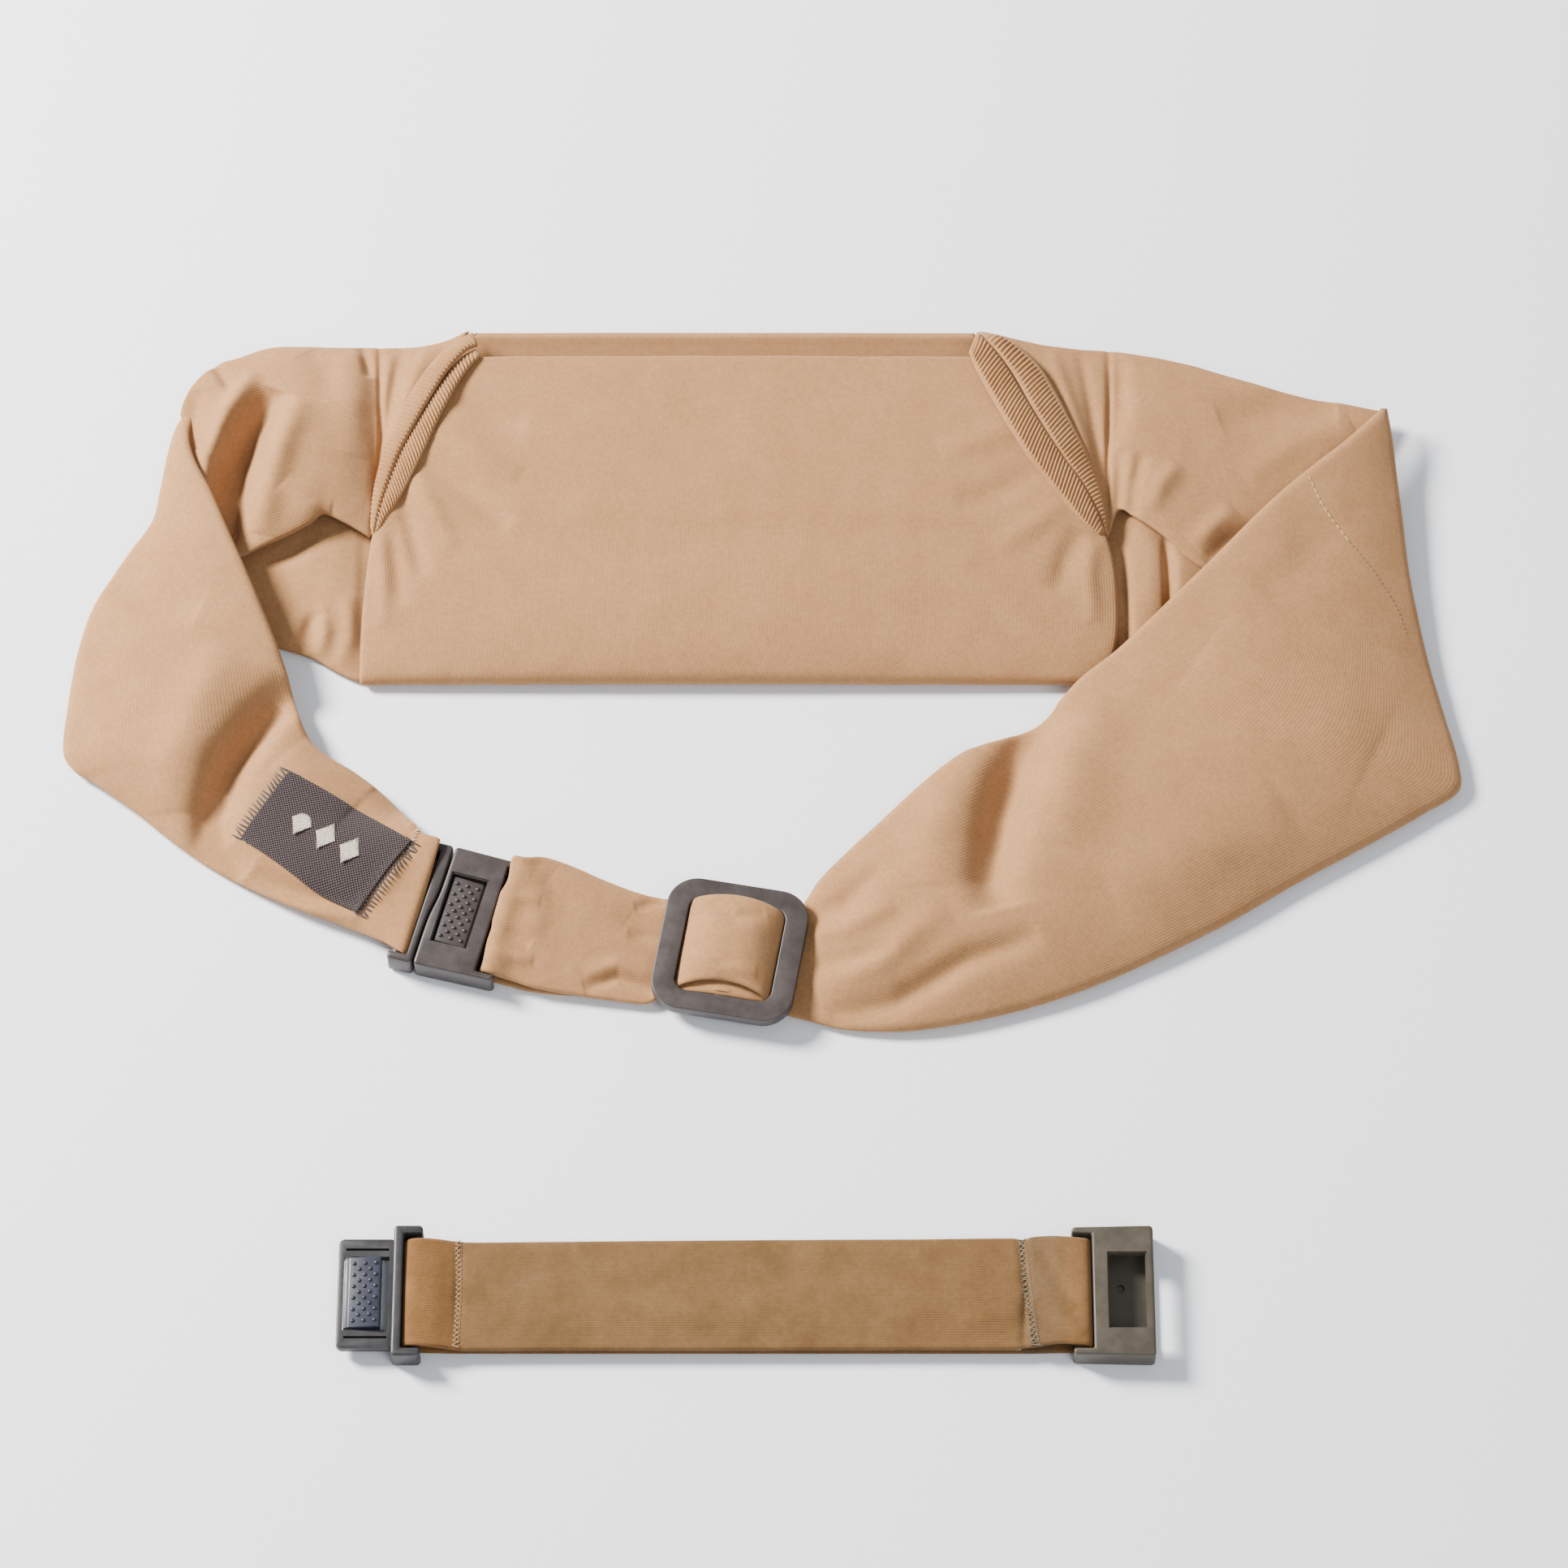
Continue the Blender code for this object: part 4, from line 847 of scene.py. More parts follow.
# A low dome at every point of a mesh.
def makeBumpGroup():
    group, given, made = groupWith("bump_field", [("Width", "NodeSocketFloat"),
        ("Height", "NodeSocketFloat"), ("Finish", "NodeSocketMaterial")])
    dome = addNode(group, "GeometryNodeMeshUVSphere", None,
        {"Segments": 16, "Rings": 10, "Radius": 0.5})
    size = addNode(group, "ShaderNodeCombineXYZ", {"X": given.outputs["Width"],
        "Y": given.outputs["Width"], "Z": given.outputs["Height"]})
    links = {"Points": given.outputs["Geometry"], "Instance": dome.outputs["Mesh"],
        "Scale": size.outputs[0]}
    return instanced(group, made, links, given.outputs["Finish"])


# The real mesh a node group makes from a carrier, as a piece of its own.
def grown(name, carrier, group, values, body):
    growth = carrier.modifiers.new("grow", "NODES")
    growth.node_group = group
    for label, value in values.items():
        growth[socketId(group, label)] = value
    mesh = finishedMesh(carrier)
    bpy.data.objects.remove(carrier)
    obj = placed(name, mesh)
    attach(obj, body)
    return obj


stitchGroup = makeStitchGroup()
bumpGroup = makeBumpGroup()


# A row of threads through points in mm.
def stitches(name, points, cfg, body, thread):
    line = bpy.data.curves.new(name + "_line", "CURVE")
    line.dimensions = "3D"
    spline = line.splines.new("POLY")
    spline.points.add(len(points) - 1)
    for spot, point in zip(spline.points, points):
        spot.co = (*[c * mm for c in point], 1)
    carrier = placed(name + "_line", line)
    values = {"Pitch": cfg["pitch"] * mm, "Length": cfg["length"] * mm, "Width": cfg["width"] * mm,
        "Swing": math.radians(cfg.get("swing", 0.0)), "Alternate": float(cfg.get("alternate", 0)),
        "Taper": float(cfg.get("taper", 0)), "Jitter": math.radians(cfg.get("jitter", 4.0)),
        "Thread": thread}
    return grown(name, carrier, stitchGroup, values, body)


# Points laid on a surface: a smooth line read at even steps.
def drape(points, height, lift, count=60):
    path = smoothPath([[*p[:2], 0.0] for p in points], count)
    heights = [height(x, y) for x, y, _ in path]
    known = [h for h in heights if h is not None]
    return [(x, y, (h if h is not None else known[0]) + lift) for (x, y, _),
        h in zip(path, heights)]


def outlineOf(sizeX, sizeY, radius, centre=0.0, steps=8):
    points = []
    for sx, sy, start in ((1, 1, 0), (-1, 1, 90), (-1, -1, 180), (1, -1, 270)):
        for i in range(steps + 1):
            a = math.radians(start + 90 * i / steps)
            points.append((centre + sx * (sizeX / 2 - radius) + radius * math.cos(a),
                sy * (sizeY / 2 - radius) + radius * math.sin(a)))
    return points


# The mating line is a shallow S.
def matingStep(y):
    return 0.75 * math.tanh(y / 5.0)


def plate(outlines, low, high):
    curve = bpy.data.curves.new("plate", "CURVE")
    curve.dimensions = "2D"
    curve.fill_mode = "BOTH"
    curve.extrude = (high - low) / 2 * mm
    for points in outlines:
        spline = curve.splines.new("POLY")
        spline.points.add(len(points) - 1)
        for spot, (x, y) in zip(spline.points, points):
            spot.co = (x * mm, y * mm, 0, 1)
        spline.use_cyclic_u = True
    carrier = placed("plate", curve)
    mesh = finishedMesh(carrier)
    bpy.data.objects.remove(carrier)
    bm = bmesh.new()
    bm.from_mesh(mesh)
    bmesh.ops.remove_doubles(bm, verts=bm.verts, dist=1e-6)
    bmesh.ops.dissolve_limit(bm, angle_limit=0.001, verts=bm.verts, edges=bm.edges)
    bmesh.ops.translate(bm, vec=(0, 0, (low + high) / 2 * mm), verts=bm.verts)
    bmesh.ops.recalc_face_normals(bm, faces=bm.faces)
    bm.to_mesh(mesh)
    bm.free()
    return mesh


def block(low, high):
    outline = [(low[0], low[1]), (high[0], low[1]), (high[0], high[1]), (low[0], high[1])]
    return plate([outline], low[2], high[2])


# A round bar along y.
def rod(x, z, radius, half):
    bm = bmesh.new()
    turn = Matrix.Translation((x * mm, 0, z * mm)) @ Matrix.Rotation(math.pi / 2, 4, "X")
    bmesh.ops.create_cone(bm, cap_ends=True, segments=24, radius1=radius * mm, radius2=radius * mm,
        depth=2 * half * mm, matrix=turn)
    mesh = meshFrom(bm, "rod")
    return mesh


def pin(x, y, low, high, radius):
    return plate([[(x + radius * math.cos(a), y + radius * math.sin(a))
        for a in [2 * math.pi * i / 24 for i in range(24)]]], low, high)


# Works through (kind, value): a bevel width, or a mesh to join or cut away.
def carve(mesh, steps):
    obj = placed("work", mesh)
    for kind, value in steps:
        if kind == "bevel":
            change = obj.modifiers.new("bevel", "BEVEL")
            change.width, change.segments = value[0] * mm, value[1]
            change.limit_method, change.angle_limit = "ANGLE", math.radians(bevelAngle)
            helper = None
        else:
            helper = placed("helper", value)
            change = obj.modifiers.new("boolean", "BOOLEAN")
            change.operation = {"cut": "DIFFERENCE", "join": "UNION"}[kind]
            change.solver = "EXACT"
            change.object = helper
        made = finishedMesh(obj)
        obj.modifiers.clear()
        obj.data = made
        if helper:
            bpy.data.objects.remove(helper)
    made = obj.data
    bpy.data.objects.remove(obj)
    return made


def hardPiece(name, mesh, at, turn, material, body, node):
    mesh.transform(Matrix.Translation(Vector(at) * mm) @ Matrix.Rotation(math.radians(turn), 4,
        "Z"))
    mesh.materials.clear()
    mesh.materials.append(material)
    for face in mesh.polygons:
        face.use_smooth = True
        face.material_index = 0
    mesh.set_sharp_from_angle(angle=math.radians(sharpAngle))
    obj = placed(name, mesh)
    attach(obj, body)
    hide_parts(node)


clip = {"deep": 9.0, "width": 44.0, "slot": 38.6, "bar": 1.6, "barZ": 4.5, "flange": 9.4,
    "female": 25.8}


# The outline of a clip half from its mating edge to its strap end, with the notch for the strap
# bar.
def clipOutline(near, far, notch, wave, taper=0.0):
    side = 1 if far > near else -1
    wide, half = clip["width"] / 2, clip["slot"] / 2
    corners = [(near, -wide), (far, -wide), (far, -half), (notch, -half), (notch, half),
        (far, half), (far, wide), (near, wide)]
    rounded = []
    for k, (x, y) in enumerate(corners):
        if k in (0, 1, 6, 7):
            inX = side if k in (0, 7) else -side
            inY = 1 if y < 0 else -1
            arc = [(x + inX * 1.3 * (1 - math.sin(a)), y + inY * 1.3 * (1 - math.cos(a)))
                for a in [math.pi / 2 * i / 5 for i in range(6)]]
            rounded += arc[::-1] if k in (0, 6) else arc
        else:
            rounded.append((x, y))
    fine = []
    for (x, y), (x2, y2) in zip(rounded, rounded[1:] + rounded[:1]):
        count = max(1, int(abs(y2 - y) / 1.5)) if abs(x - near) < 0.01 and abs(x2
            - near) < 0.01 else 1
        fine += [(x + (x2 - x) * i / count, y + (y2 - y) * i / count) for i in range(count)]
    outline = []
    for x, y in fine:
        shift = wave * matingStep(y) if abs(x - near) < 1.4 else 0.0
        outline.append((x + shift, y * (1 - taper * abs(x) / 25) if abs(y) > half + 0.5 else y))
    return outline


# The plug half: a flange with a strap bar, and a tongue with a hole for the spring pad.
def plugHalf(name, at, turn, material, body, wave):
    outline = clipOutline(-0.3, -clip["flange"], -3.3, wave)
    half = clip["slot"] / 2
    tongue = plate([outlineOf(18.2, 37.0, 2.0, 7.9)], 2.9, 6.1)
    steps = [("bevel", (0.8, 3)), ("join", rod(-7.4, clip["barZ"], clip["bar"], half + 1.0)),
        ("join", carve(tongue, [("bevel", (0.5, 2))])),
        ("cut", block((1.0, -12.4, -1), (15.2, 12.4, 12)))]
    for side in (-1, 1):
        steps.append(("cut", block((1.2, min(14.4 * side, 15.2 * side), 4.9),
            (14.6, max(14.4 * side, 15.2 * side), 7))))
    mesh = carve(plate([outline], 0, clip["deep"]), steps)
    hardPiece(name + "_piece", mesh, at, turn, material, body, name)


# the pad's grip bumps: two staggered counts of rows on a face that falls towards the tip
grip = {"columns": 5, "rows": 6, "firstX": 5.0, "stepX": 1.72, "stepY": 3.86, "topX": 4.3,
    "topZ": 8.0, "run": 9.1, "fall": 1.2, "lift": 0.02, "width": 1.35, "height": 1.0}


# The spring arm with its push pad, and the grip bumps on it.
def springPad(name, at, turn, material, body):
    profile = [(14.9, 4.4), (14.9, 5.8), (14.0, 6.1), (13.4, 6.8), (4.3, 8.0), (3.3, 7.7),
        (3.3, 4.4)]
    bm = bmesh.new()
    face = bm.faces.new([bm.verts.new(Vector((x, -11.9, z)) * mm) for x, z in profile])
    swept = bmesh.ops.extrude_face_region(bm, geom=[face])
    moved = [v for v in swept["geom"] if isinstance(v, bmesh.types.BMVert)]
    bmesh.ops.translate(bm, vec=(0, 23.8 * mm, 0), verts=moved)
    bmesh.ops.recalc_face_normals(bm, faces=bm.faces)
    mesh = meshFrom(bm, name)
    hardPiece(name + "_piece", carve(mesh, [("bevel", (0.35, 3))]), at, turn, material, body, name)
    spots = []
    for column in range(grip["columns"]):
        for row in range(grip["rows"] - column % 2):
            x = grip["firstX"] + column * grip["stepX"]
            y = (row - (grip["rows"] - 1 - column % 2) / 2) * grip["stepY"]
            z = grip["topZ"] - (x - grip["topX"]) / grip["run"] * grip["fall"] + grip["lift"]
            spots.append(inFrame(at, turn, x, y, z))
    carrier = bpy.data.objects.new("spots", bpy.data.meshes.new("spots"))
    carrier.data.from_pydata([[c * mm for c in p] for p in spots], [], [])
    bpy.context.scene.collection.objects.link(carrier)
    bumps = grown(name + "_bumps", carrier, bumpGroup,
        {"Width": grip["width"] * mm, "Height": grip["height"] * mm, "Finish": material}, body)


# The socket half: a housing with a cavity, a window over the spring pad and a strap bar.
def socketHalf(name, at, turn, material, body, wave, hole):
    outline = clipOutline(0.3, clip["female"], 19.4, wave, 0.025)
    half = clip["slot"] / 2
    steps = [("bevel", (0.8, 3)), ("cut", block((2.5, -12.9, 8.5), (14.9, 12.9, 12))),
        ("cut", block((-2, -18.85, 1.6), (17.7, 18.85, 6.5))),
        ("cut", block((2.9, -12.5, 5), (14.5, 12.5, 12))),
        ("join", rod(23.8, clip["barZ"], clip["bar"], half + 1.0))]
    if hole:
        steps.append(("cut", pin(10.6, -3.4, 0.4, 3, 1.4)))
    mesh = carve(plate([outline], 0, clip["deep"]), steps)
    hardPiece(name + "_piece", mesh, at, turn, material, body, name)


def adjusterFrame():
    mesh = carve(plate([outlineOf(46, 47, 10, steps=14), outlineOf(31.5, 33.5, 4.0)], 4.7, 9.1),
        [("bevel", (1.3, 4)), ("join", carve(block((-2.2, -18, 5.2), (2.2, 18, 8.0)),
        [("bevel", (0.5, 2))]))])
    hardPiece("tri_glide_piece", mesh, adjusterAt, adjusterTurn, greyPlastic, "adjuster",
        "tri_glide")


def buckles():
    plugHalf("buckle_male", buckleAt, buckleTurn, greyPlastic, "buckle_male", 1.0)
    springPad("buckle_button", buckleAt, buckleTurn, greyPlastic, "buckle_button")
    socketHalf("buckle_female", buckleAt, buckleTurn, greyPlastic, "belt", 1.0, False)
    adjusterFrame()
    plugAt, socketAt = (-108.0, extenderY, 0.0), (130.0, extenderY, 0.0)
    plugHalf("extender_male", plugAt, 180.0, slatePlastic, "extender_male", 0.0)
    springPad("extender_button", plugAt, 180.0, padPlastic, "extender_button")
    socketHalf("extender_female", socketAt, 180.0, olivePlastic, "extender_female", 0.0, True)


# The folded-back end of the left strap, round the plug's bar and under the wing.
def buckleStrapEnd():
    rows = []
    for x, z in ((-4.5, 4.4), (-5.0, 2.7), (-7.4, 1.75), (-9.5, 1.6), (-11.5, 1.6), (-13.0, 1.6)):
        rows.append((inFrame(buckleAt, buckleTurn, x, -17.0 if x > -9 else -14.4, z),
            inFrame(buckleAt, buckleTurn, x, 18.0, z), 0.0, 0.6))
    obj, cut = clothPiece("left_strap_turn", rows, {"rows": 50, "cols": 50, "half": 0.6,
        "seed": 21.0, "ripple": 0.08, "floor": -9}, tanJersey, "buckle_male")
    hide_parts("left_strap_end")
    declareSheet(obj, cut, "folded")


def adjusterRow(x, yLow, yHigh, z, crown, half, zHigh=None):
    return (inFrame(adjusterAt, adjusterTurn, x, yLow, z),
        inFrame(adjusterAt, adjusterTurn, x, yHigh, zHigh or z), crown, half)


def shortStrap():
    top = [buckleRow(20.2, 18.3, 22.0, 4.8, 10.7, 0.2, 0.6),
        buckleRow(21.0, 18.4, 22.7, 6.8, 11.1, 0.4, 0.8),
        buckleRow(24.0, 18.5, 22.9, 6.9, 10.8, 1.2, 0.9),
        ((-73.6, -171.9, 4.9), (-63.4, -129.6, 8.6), 2.4),
        ((-65.2, -174.3, 3.8), (-55.5, -131.3, 6.4), 2.7),
        ((-52.2, -176.5, 3.2), (-44.9, -135.5, 4.7), 2.4),
        ((-39.2, -178.3, 2.9), (-34.4, -139.4, 3.6), 1.6),
        ((-29.5, -179.2, 2.8), (-25.6, -141.6, 3.2), 0.7, 0.8),
        adjusterRow(-18.0, -17.2, 17.4, 3.2, 0.1, 0.75),
        adjusterRow(-13.5, -16.4, 16.2, 3.5, 0.1, 0.7)]
    folds = [([(-72, -132), (-72, -150), (-77, -166)], 3.0, -0.6),
        ([(-67, -134), (-64, -148), (-66, -162)], 3.4, 0.5),
        ([(-80, -154), (-74, -157), (-67, -161)], 1.9, -1.2),
        ([(-80, -163), (-74, -165), (-66, -166)], 2.0, 0.9),
        ([(-78, -142), (-72, -145), (-64, -146)], 2.2, 0.7),
        ([(-50, -174), (-39, -170.5), (-27, -175)], 2.2, -1.5),
        ([(-50, -170), (-39, -166.5), (-26, -170.5)], 2.8, 0.9),
        ([(-34, -146), (-28, -144), (-24, -144)], 2.0, -0.9),
        ([(-60, -136), (-50, -142), (-36, -150)], 5.0, 0.7),
        ([(-36, -156), (-30, -156), (-24, -157)], 2.4, -0.8)]
    obj, cut = clothPiece("short_strap_cloth", top, {"rows": 120, "cols": 80, "half": 0.9,
        "seed": 22.0, "ripple": 0.25, "rippleSize": 14.0, "archPower": 0.6, "folds": folds,
        "floor": 0.9, "startWave": (-1.5, 0.1)}, tanJersey)
    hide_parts("short_strap")
    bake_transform(obj)
    declareSheet(obj, cut, "folded")
    under = []
    for x, z in ((20.6, 3.6), (21.6, 2.2), (24.2, 1.5), (30.0, 1.1), (38.0, 0.9)):
        under.append(buckleRow(x, 18.4, 18.6, z, z, 0.0, 0.6))
    under += [((-52.4, -175.5, 1.1), (-45.5, -137.0, 1.1), 0.0, 0.5),
        adjusterRow(-28.0, -18.0, 18.0, 1.1, 0.0, 0.5),
        adjusterRow(-14.0, -16.6, 16.6, 1.1, 0.0, 0.5)]
    obj, cut = clothPiece("short_strap_turn", under, {"rows": 90, "cols": 40, "half": 0.6,
        "seed": 23.0, "ripple": 0.05, "floor": -9}, tanJersey)
    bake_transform(obj)
    declareSheet(obj, cut, "folded")


def onLoop(x, y):
    return inFrame(adjusterAt, adjusterTurn, x, y, 0)[:2]


def adjusterCloth():
    rows = [adjusterRow(-15.2, -15.6, 15.8, 3.6, 0.0, 0.7),
        adjusterRow(-14.6, -15.4, 16.2, 6.4, 0.3, 0.8, 7.6),
        adjusterRow(-12.0, -14.6, 16.9, 8.6, 0.8, 0.8, 9.4),
        adjusterRow(-6.5, -13.0, 17.8, 10.0, 2.2, 0.8, 10.6),
        adjusterRow(0.0, -12.2, 18.2, 10.2, 2.8, 0.8, 10.9),
        adjusterRow(6.5, -12.8, 17.7, 10.0, 2.2, 0.8, 10.6),
        adjusterRow(12.0, -14.2, 16.7, 8.6, 0.8, 0.8, 9.2),
        adjusterRow(14.6, -15.2, 16.0, 6.2, 0.3, 0.8, 7.0),
        adjusterRow(15.2, -15.4, 15.6, 3.6, 0.0, 0.7)]
    obj, cut = clothPiece("adjuster_loop", rows, {"rows": 90, "cols": 80, "half": 0.8, "seed": 24.0,
        "ripple": 0.2, "rippleSize": 12.0, "floor": -9,
        "folds": [([onLoop(-9, 14), onLoop(0, 9), onLoop(9, 13)], 2.6, -0.8),
        ([onLoop(-11, -4), onLoop(-2, -9), onLoop(10, -8)], 2.2, 0.7)]}, tanJersey, "adjuster")
    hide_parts("adjuster_fold")
    declareSheet(obj, cut, "folded")
    rows = []
    for x, z in ((-4.6, 3.2), (-4.4, 6.0), (-3.8, 8.0), (0.0, 8.75), (3.8, 8.0), (4.4, 6.0),
            (4.6, 3.2)):
        rows.append(adjusterRow(x, -15.4, 14.0, z, 0.0, 0.45))
    obj, cut = clothPiece("sewn_end", rows, {"rows": 50, "cols": 50, "half": 0.45, "seed": 25.0,
        "ripple": 0.05, "floor": -9}, tanJersey, "adjuster")
    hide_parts("sewn_strap_end")
    declareSheet(obj, cut, "folded")
    eye = [adjusterRow(-13.6, -15.9, -12.0, 6.0, 0.0, 0.6),
        adjusterRow(-9.0, -16.1, -11.0, 7.0, 0.4, 0.7),
        adjusterRow(0.0, -16.2, -10.0, 7.6, 0.8, 0.7), adjusterRow(9.0, -16.1, -11.0, 7.0, 0.4,
        0.7), adjusterRow(13.6, -15.8, -12.0, 6.0, 0.0, 0.6)]
    obj, cut = clothPiece("adjuster_loop_inner", eye,
        {"rows": 50, "cols": 20, "half": 0.7, "seed": 26.0, "ripple": 0.08, "floor": -9}, tanJersey,
        "adjuster")
    declareSheet(obj, cut, "folded")


# the embroidered diamonds: shares of the label's length and width, and half a diamond's length in
# mm
marks = {"count": 3, "first": 0.3, "step": 0.2, "across": 0.53, "half": 3.4}


# The woven label on the wing, with zigzag edges and three embroidered diamonds.
def label(height):
    low = [(-161.3, -122.8), (-149.0, -132.0), (-136.6, -141.0), (-122.9, -149.2)]
    high = [(-146.1, -101.1), (-133.0, -108.4), (-119.8, -116.2), (-105.9, -125.4)]
    rows, cols = 90, 50
    lowPath = smoothPath([[*p, 0] for p in low], rows)
    highPath = smoothPath([[*p, 0] for p in high], rows)
    t = np.linspace(0, 1, cols)[None, :, None]
    grid = lowPath[:, None, :] + (highPath - lowPath)[:, None, :] * t
    for r in range(rows):
        for c in range(cols):
            grid[r, c, 2] = height(grid[r, c, 0], grid[r, c, 1], 4.0) + 0.75
    obj = closedCloth("label_tape", grid, np.full((rows, cols), 0.4), labelTape, "buckle_male")
    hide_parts("woven_label")
    top = topOf(obj)

    def both(x, y, missing=None):
        return top(x, y, height(x, y, missing))

    for name, ends, node in (("label_edge_left", (low[0], high[0]), "label_stitching_left"),
            ("label_edge_right", (low[-1], high[-1]), "label_stitching_right")):
        away = -1.3 if "left" in name else 1.3
        outward = [(x + away * 0.87, y - away * 0.5) for x, y in ends]
        line = drape(outward, both, 0.25, 40)
        row = stitches(name, line, {"pitch": 1.4, "length": 4.6, "width": 0.66, "swing": 80,
            "jitter": 20}, "buckle_male", darkThread)
        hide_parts(node)
        inner = [(x - away * 1.7, y + away * 1.0, z + 0.3) for x, y, z in line]
        row = stitches(name + "_zigzag", inner, {"pitch": 1.15, "length": 3.4, "width": 0.4,
            "swing": 62, "alternate": 1, "jitter": 10}, "buckle_male",
            silverThread if "left" in name else darkThread)
    for k in range(marks["count"]):
        f = marks["first"] + marks["step"] * k
        a = np.array(smoothPath([[*p, 0] for p in low], 101)[int(f * 100)])
        b = np.array(smoothPath([[*p, 0] for p in high], 101)[int(f * 100)])
        centre = a + (b - a) * marks["across"]
        along = (np.array([*high[-1], 0]) - np.array([*high[0], 0]))
        along /= np.linalg.norm(along)
        reach = along[:2] * marks["half"]
        line = drape([centre[:2] - reach, centre[:2], centre[:2] + reach], top, 0.16, 20)
        mark = stitches(f"label_mark_{k}", line, {"pitch": 0.42, "length": 10.4, "width": 0.55,
            "swing": 90, "taper": 1, "jitter": 2}, "buckle_male", markThread)


def smallSeams(wingTop, rightTop):
    line = drape([(-103.8, -119.6), (-104.8, -123.0), (-106.4, -128.6)], wingTop, 0.2, 30)
    tack = stitches("strap_tack", line, {"pitch": 0.62, "length": 2.2, "width": 0.34, "swing": 66,
        "alternate": 1}, "buckle_male", tanThread)
    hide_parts("strap_end_tack")
    seam = [(189.1, 9.0), (193.5, -1.7), (200.7, -12.7), (209.0, -23.6), (216.2, -36.0),
        (219.4, -45.6)]
    first = stitches("cross_seam_start", drape(seam[:3], rightTop, 0.08, 40),
        {"pitch": 2.3, "length": 2.0, "width": 0.34, "swing": 4, "jitter": 9}, "belt", tanThread)
    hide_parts("wing_seam_stitching")
    rest = stitches("cross_seam_rest", drape(seam[2:], rightTop, 0.04, 60),
        {"pitch": 1.7, "length": 0.8, "width": 0.3, "jitter": 6}, "belt", brownThread)


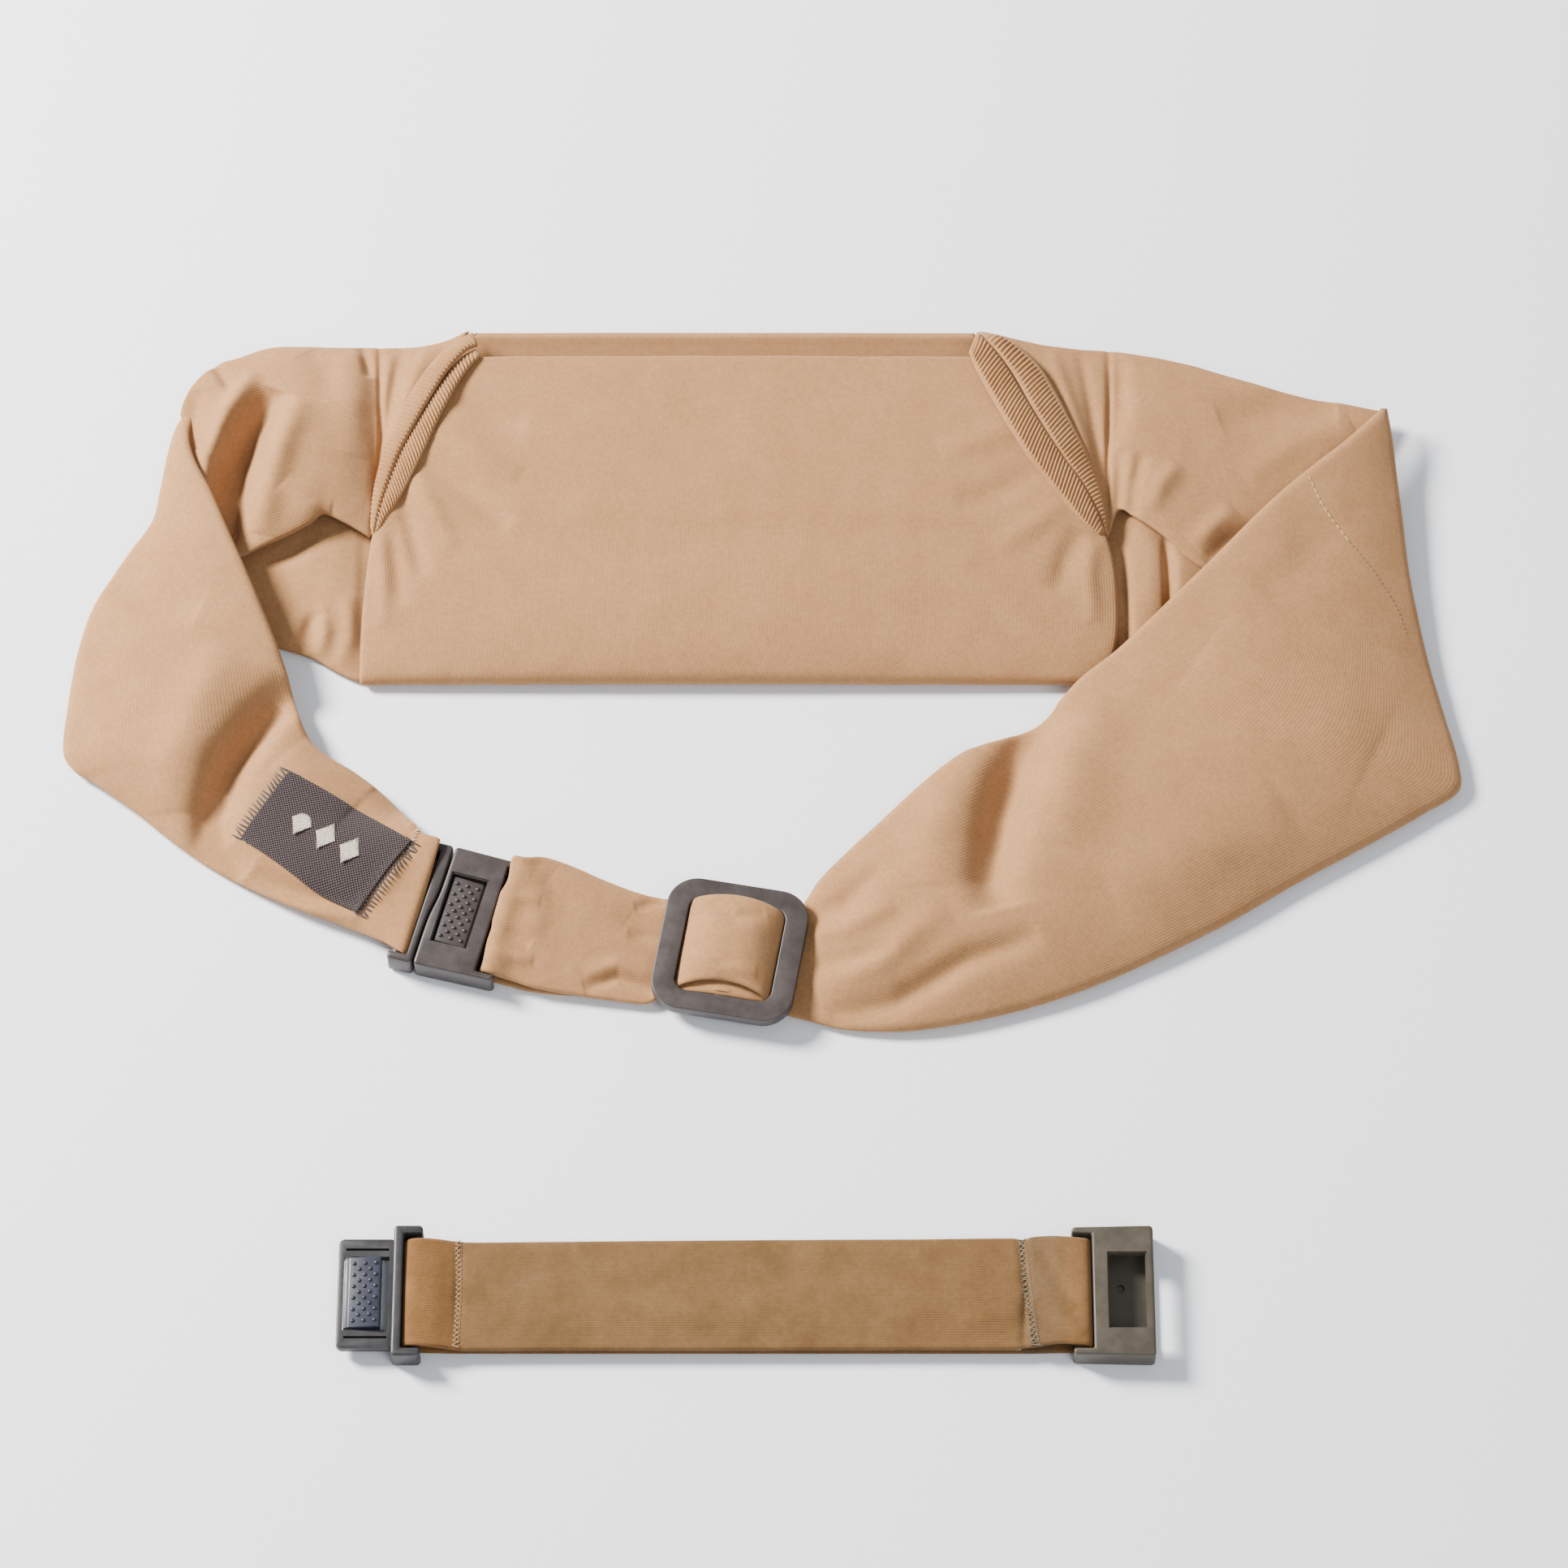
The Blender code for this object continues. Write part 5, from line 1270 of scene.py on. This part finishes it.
def extender():
    y = extenderY
    front = []
    for x, z, low, high, crown, half in ((-104.2, 5.0, 17.8, 17.8, 0.0, 0.55),
            (-103.2, 6.8, 18.0, 18.0, 0.2, 0.65), (-100.4, 7.4, 18.2, 18.2, 0.2, 0.7),
            (-95.0, 6.6, 18.4, 18.3, 0.3, 0.8), (-89.0, 4.9, 18.6, 18.2, 0.3, 0.9),
            (-85.0, 4.4, 18.8, 18.0, 0.5, 0.9), (-60.0, 4.2, 18.6, 18.3, 0.7, 0.9),
            (0.0, 4.1, 18.6, 18.9, 0.7, 0.9), (60.0, 4.2, 18.4, 19.2, 0.7, 0.9),
            (86.0, 4.4, 18.4, 19.4, 0.6, 0.9), (89.6, 4.7, 17.9, 18.8, 0.3, 0.9),
            (92.0, 5.4, 18.0, 19.4, 0.5, 0.9), (99.0, 6.8, 17.4, 19.2, 0.5, 0.8),
            (105.6, 7.5, 18.0, 18.4, 0.3, 0.7), (109.0, 6.9, 18.2, 18.2, 0.2, 0.65),
            (110.1, 5.0, 18.0, 18.0, 0.0, 0.55)):
        front.append(((x, y - low, z), (x, y + high, z), crown, half))
    folds = [([(88.8, y - 18), (90.4, y), (88.6, y + 19)], 1.5, -1.0),
        ([(94, y + 14), (100, y + 4), (106, y - 8)], 2.6, -0.7),
        ([(95, y - 4), (101, y - 10), (107, y - 15)], 2.4, 0.6),
        ([(-88, y - 17), (-87.4, y), (-88, y + 17)], 1.3, -0.6),
        ([(-80, y - 10), (-20, y - 6), (40, y - 9)], 6.0, 0.35),
        ([(-70, y + 8), (0, y + 4), (70, y + 9)], 6.0, -0.35),
        ([(60, y + 14), (76, y + 4), (88, y + 1)], 3.0, -0.5),
        ([(66, y - 12), (78, y - 8), (88, y - 6)], 2.6, 0.4)]
    obj, cut = clothPiece("extender_front", front, {"rows": 300, "cols": 60, "half": 0.9,
        "seed": 31.0, "ripple": 0.12, "rippleSize": 12.0, "folds": folds, "floor": -9}, goldJersey,
        "extender")
    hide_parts("extender_strap_front", "extender_left_loop", "extender_right_loop")
    declareSheet(obj, cut, "laid")
    top = topOf(obj)
    core = [((x, y - 17.6, 2.35), (x, y + 17.8, 2.35), 0.0) for x in (-86, 0, 88)]
    obj, cut = clothPiece("extender_core", core, {"rows": 80, "cols": 30, "half": 0.55,
        "seed": 32.0, "ripple": 0.05, "floor": -9}, elasticWeb, "extender")
    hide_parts("extender_elastic_core")
    declareSheet(obj, cut, "laid")
    back = []
    for x, z in ((-104.2, 4.2), (-103.0, 2.2), (-100.6, 1.7), (-94.0, 1.2), (-86.0, 0.9),
            (0.0, 0.9), (90.0, 0.9), (98.0, 1.2), (106.2, 1.7), (109.0, 2.2), (110.1, 4.2)):
        back.append(((x, y - 18.2, z), (x, y + 18.2, z), 0.0))
    obj, cut = clothPiece("extender_back", back, {"rows": 140, "cols": 30, "half": 0.55,
        "seed": 33.0, "ripple": 0.05, "floor": -9}, goldJersey, "extender")
    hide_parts("extender_strap_back")
    declareSheet(obj, cut, "laid")
    for name, ends, node, cfg in (("extender_zigzag",
            [(-87.8, y - 17.6), (-87.4, y), (-87.8, y + 17.4)], "extender_left_stitching",
            {"pitch": 0.8, "length": 2.6, "width": 0.36, "swing": 56, "alternate": 1,
            "jitter": 18}), ("extender_overlock", [(92.4, y - 17.4), (90.6, y), (88.8, y + 18.4)],
            "extender_right_stitching", {"pitch": 0.85, "length": 4.0, "width": 0.4, "swing": 64,
            "alternate": 1, "jitter": 24})):
        row = stitches(name, drape(ends, top, 0.12, 80), cfg, "extender",
            greyThread if "over" in name else goldThread)
        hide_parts(node)
        line = drape([(px + 1.2, py) for px, py in ends], top, 0.05, 80)
        row = stitches(name + "_line", line, {"pitch": 1.5, "length": 1.3, "width": 0.3,
            "jitter": 10}, "extender", brownThread)


pocketFront()
pocketBack()
ribbedBand("left_band", leftBandEdges, bandShape, "pocket_mouth", "left_mouth_hem")
ribbedBand("right_band", rightBandEdges, {**bandShape, "slant": -0.35}, "pocket_mouth",
    "right_mouth_hem")
ribbedBand("left_inner_band", leftInnerEdges, {**bandShape, "half": 0.8, "crown": 0.8,
    "slant": -0.3}, "pocket_mouth", "front_mouth_hem")
ribbedBand("right_outer_band", rightOuterEdges, {**bandShape, "slant": -0.5, "ribFrom": 0.15},
    "belt", "right_flap_hem")
sideSections()
leftWing, rightWing = wings()
print("cloth made")
buckles()
print("moulded parts made")
buckleStrapEnd()
shortStrap()
adjusterCloth()
wingTop, rightTop = topOf(leftWing), topOf(rightWing)
label(wingTop)
smallSeams(wingTop, rightTop)
extender()
print("straps, label and stitches made")


floorMesh = bpy.data.meshes.new("pale_table")
floorMesh.from_pydata([(-4, -4, 0), (4, -4, 0), (4, 4, 0), (-4, 4, 0)], [], [(0, 1, 2, 3)])
floorMesh.materials.append(floorLook)
table = placed("pale_table", floorMesh)
